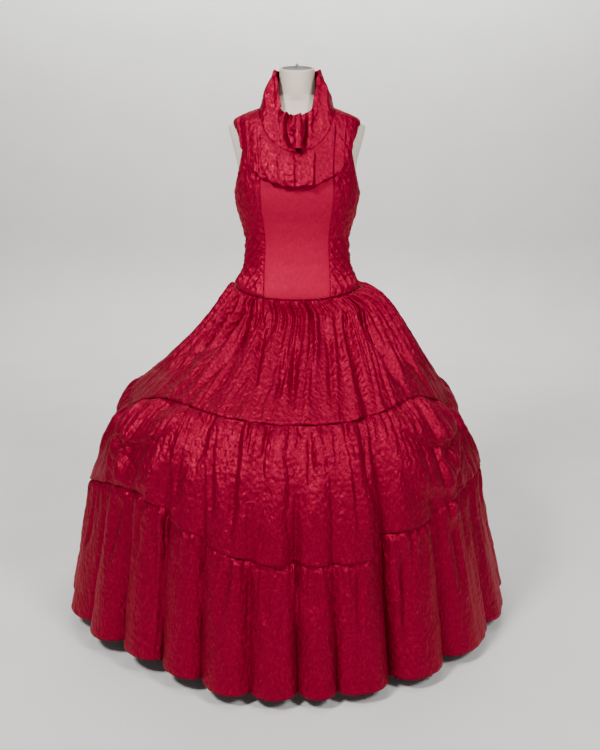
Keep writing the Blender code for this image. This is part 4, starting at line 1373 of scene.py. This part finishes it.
def build_roll():
    """The collar's front end, curled round on itself, with a turned-back lip at its foot."""
    up = np.linspace(1.0, 0.0, ROLL_LEVELS + 1)[:, None]
    turn = np.linspace(0.0, 1.0, ROLL_TURNS + 1)[None]
    outer_radius = blend(ROLL_RADIUS_FOOT, ROLL_RADIUS_TOP, up)
    radius = outer_radius * (1 - ROLL_TIGHTENING * smooth_step(turn, *ROLL_TIGHTENS))
    ripple, up_count, turn_count = ROLL_RIPPLES
    radius = radius + ROLL_LIP * (1 - smooth_step(up, *ROLL_LIP_SPAN))
    radius = radius + ripple * np.sin(up * up_count + turn * turn_count)
    angle = np.radians(blend(*ROLL_ANGLES, turn))
    seat, _ = collar_surface(np.zeros_like(up), blend(ROLL_FOOT_SHARE, 1.0, up))
    x = seat[..., 0] + ROLL_ASIDE + np.sin(angle) * radius
    y = seat[..., 1] - outer_radius + ROLL_SEAT_LAP - np.cos(angle) * radius
    z = seat[..., 2] + ROLL_UP + ROLL_SPIRAL_RISE * turn * (1 - up) + ROLL_RIM_WAVE * np.sin(angle) * up
    points = stacked(x, y, z)
    made = cloth_piece("collar_front_roll", points, False, SATIN, ROLL_MAP, ROLL_WALL)


# Dress form


def form_points(degrees, z):
    """The form under the dress, with its rounded shoulder ends."""
    inset = blend(FORM_INSET_BODY, FORM_INSET_SHOULDER, smooth_step(z, *FORM_SHOULDER_LEVELS))
    points = raised_point(degrees, z, -inset)
    reach = armhole_depth(z) - SHOULDER_END_CLEARANCE
    end = looked_up(SHOULDER_END, z)[0]
    inside = reach > np.abs(points[..., 1])
    share = np.where(inside, 1 - (points[..., 1] / np.maximum(reach, 1e-6)) ** 2, 0.0)
    points[..., 0] += np.sign(points[..., 0]) * end * share
    return points


def neck_ring(degrees, z, half_width, depth, forward, tilt):
    ahead = np.cos(np.radians(degrees)) * depth
    return stacked(np.sin(np.radians(degrees)) * half_width, -ahead - forward, z - math.tan(tilt) * ahead)


def neck_rows(degrees, foot):
    """The neck's rows, from the middle of its flat top down to the torso's first row."""
    tilt = math.radians(NECK_TOP_TILT)
    top_z, top_width, top_depth, top_forward, _ = NECK_RINGS[0]
    rings = []
    for scale, drop in NECK_TOP:
        ring = neck_ring(degrees, top_z - drop, top_width * scale, top_depth * scale, top_forward, tilt)
        rings.append(ring)
    necks = [neck_ring(degrees, z, w, d, f, tilt * s) for z, w, d, f, s in NECK_RINGS]
    necks.append(foot)
    knots = np.array(NECK_KNOTS)
    for height in np.linspace(0.0, 1.0, NECK_ROWS):
        i = min(int(np.searchsorted(knots, height, side="right")) - 1, len(knots) - 2)
        share = (height - knots[i]) / (knots[i + 1] - knots[i])
        rings.append(blend(necks[i], necks[i + 1], share))
    return np.stack(rings)


def build_form():
    """The torso and neck as one smooth body, with a rim and a dark inset on the neck's flat top."""
    degrees, levels = round_grid(FORM_COLUMNS, np.linspace(NECK_FOOT_Z, FORM_BOTTOM_Z, FORM_ROWS))
    torso = form_points(degrees, levels)
    rings = np.concatenate((neck_rows(degrees[0], torso[0]), torso[1:]), axis=0)
    mesh = grid_mesh("form_torso_cover", rings, True)
    work = bmesh.new()
    work.from_mesh(mesh)
    bmesh.ops.holes_fill(work, edges=[e for e in work.edges if e.is_boundary])
    bmesh.ops.recalc_face_normals(work, faces=work.faces[:])
    for face in work.faces:
        face.smooth = True
    work.to_mesh(mesh)
    work.free()
    made = put("form_torso_cover", mesh, COVER)
    mesh.materials.append(DARK_INSET)
    _, _, top_depth, top_forward, _ = NECK_RINGS[0]
    inset_radius = NECK_INSET_SHARE * top_depth
    for polygon in mesh.polygons:
        centre = polygon.center
        inside = math.hypot(centre.x, centre.y + top_forward) < inset_radius
        if inside and centre.z > NECK_INSET_ABOVE_Z:
            polygon.material_index = 1
    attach(made, "root")
    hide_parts("form_torso")


def dress_stand():
    """The pole, base and knob are the solids themselves, with their own finishes."""
    for node, material in (("form_neck_knob", STEEL), ("stand_pole", STEEL), ("stand_base", BASE_PAINT)):
        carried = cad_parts[node]
        carried.data.materials.clear()
        carried.data.materials.append(material)


# Studio

WALL_Y = 4.4
WALL_TOP = 6.0
FLOOR_NEAR_Y = -6.0
FLOOR_REACH = 8.0
TURN_RADIUS = 0.7
TURN_STEPS = 14
WORLD_COLOUR = (0.80, 0.83, 0.87, 1.0)
WORLD_STRENGTH = 0.15

# Lights: name, place, where it aims, width, height, watts
LIGHTS = (
    ("key", (-1.5, -2.1, 3.0), (0.0, 0.0, 0.9), 0.6, 0.6, 104.0),
    ("fill", (1.7, -2.2, 2.6), (0.0, 0.0, 0.7), 0.7, 0.7, 62.0),
    ("top", (0.1, -0.6, 3.6), (0.0, 0.0, 0.5), 1.4, 1.4, 22.0),
    ("wall", (0.0, 3.3, 3.8), (0.0, WALL_Y, 1.4), 6.0, 0.6, 180.0),
    ("low", (0.0, -4.0, 1.0), (0.0, 0.0, 0.6), 2.6, 1.6, 8.0),
)


def build_studio():
    """A plain pale floor that turns up into a plain pale wall, and soft lights."""
    floor = Shader("studio_floor")
    tone = floor.noise(3.0, detail=3.0)
    colour = floor.ramp(tone, ((0.3, (0.83, 0.81, 0.79)), (0.7, (0.87, 0.85, 0.83))))
    floor.link(colour, floor.out.inputs["Base Color"])
    floor.settings(Roughness=0.55)
    turn_y = WALL_Y - TURN_RADIUS
    profile = [(FLOOR_NEAR_Y, 0.0), (turn_y, 0.0)]
    for i in range(1, TURN_STEPS + 1):
        angle = math.pi / 2 * i / TURN_STEPS
        profile.append((turn_y + TURN_RADIUS * math.sin(angle), TURN_RADIUS * (1 - math.cos(angle))))
    profile.append((WALL_Y, WALL_TOP))
    rows = [[(x, y, z) for x in (-FLOOR_REACH, FLOOR_REACH)] for y, z in profile]
    mesh = grid_mesh("studio", np.array(rows[::-1]), False)
    put("studio", mesh, floor.material)
    for name, place, aim, width, height, power in LIGHTS:
        data = bpy.data.lights.new(name, "AREA")
        data.shape = "RECTANGLE"
        data.size = width
        data.size_y = height
        data.energy = power
        lamp = bpy.data.objects.new(name, data)
        lamp.location = place
        lamp.rotation_euler = (Vector(aim) - Vector(place)).to_track_quat("-Z", "Y").to_euler()
        bpy.context.scene.collection.objects.link(lamp)
    world = bpy.context.scene.world or bpy.data.worlds.new("studio")
    bpy.context.scene.world = world
    world.use_nodes = True
    background = world.node_tree.nodes["Background"]
    background.inputs["Color"].default_value = WORLD_COLOUR
    background.inputs["Strength"].default_value = WORLD_STRENGTH


def build_camera():
    """The photograph's camera: its height, tilt and lens, worked out from the floor and the hem."""
    data = bpy.data.cameras.new("camera")
    data.lens = CAMERA_LENS
    data.sensor_width = CAMERA_SENSOR
    camera = bpy.data.objects.new("camera", data)
    camera.location = CAMERA_PLACE
    camera.rotation_euler = (math.radians(90.0 - CAMERA_PITCH_DOWN), 0.0, 0.0)
    bpy.context.scene.collection.objects.link(camera)
    bpy.context.scene.camera = camera


build_form()
build_bodice()
build_collar()
build_roll()
build_ruffle()
build_skirt()
dress_stand()
build_studio()
build_camera()
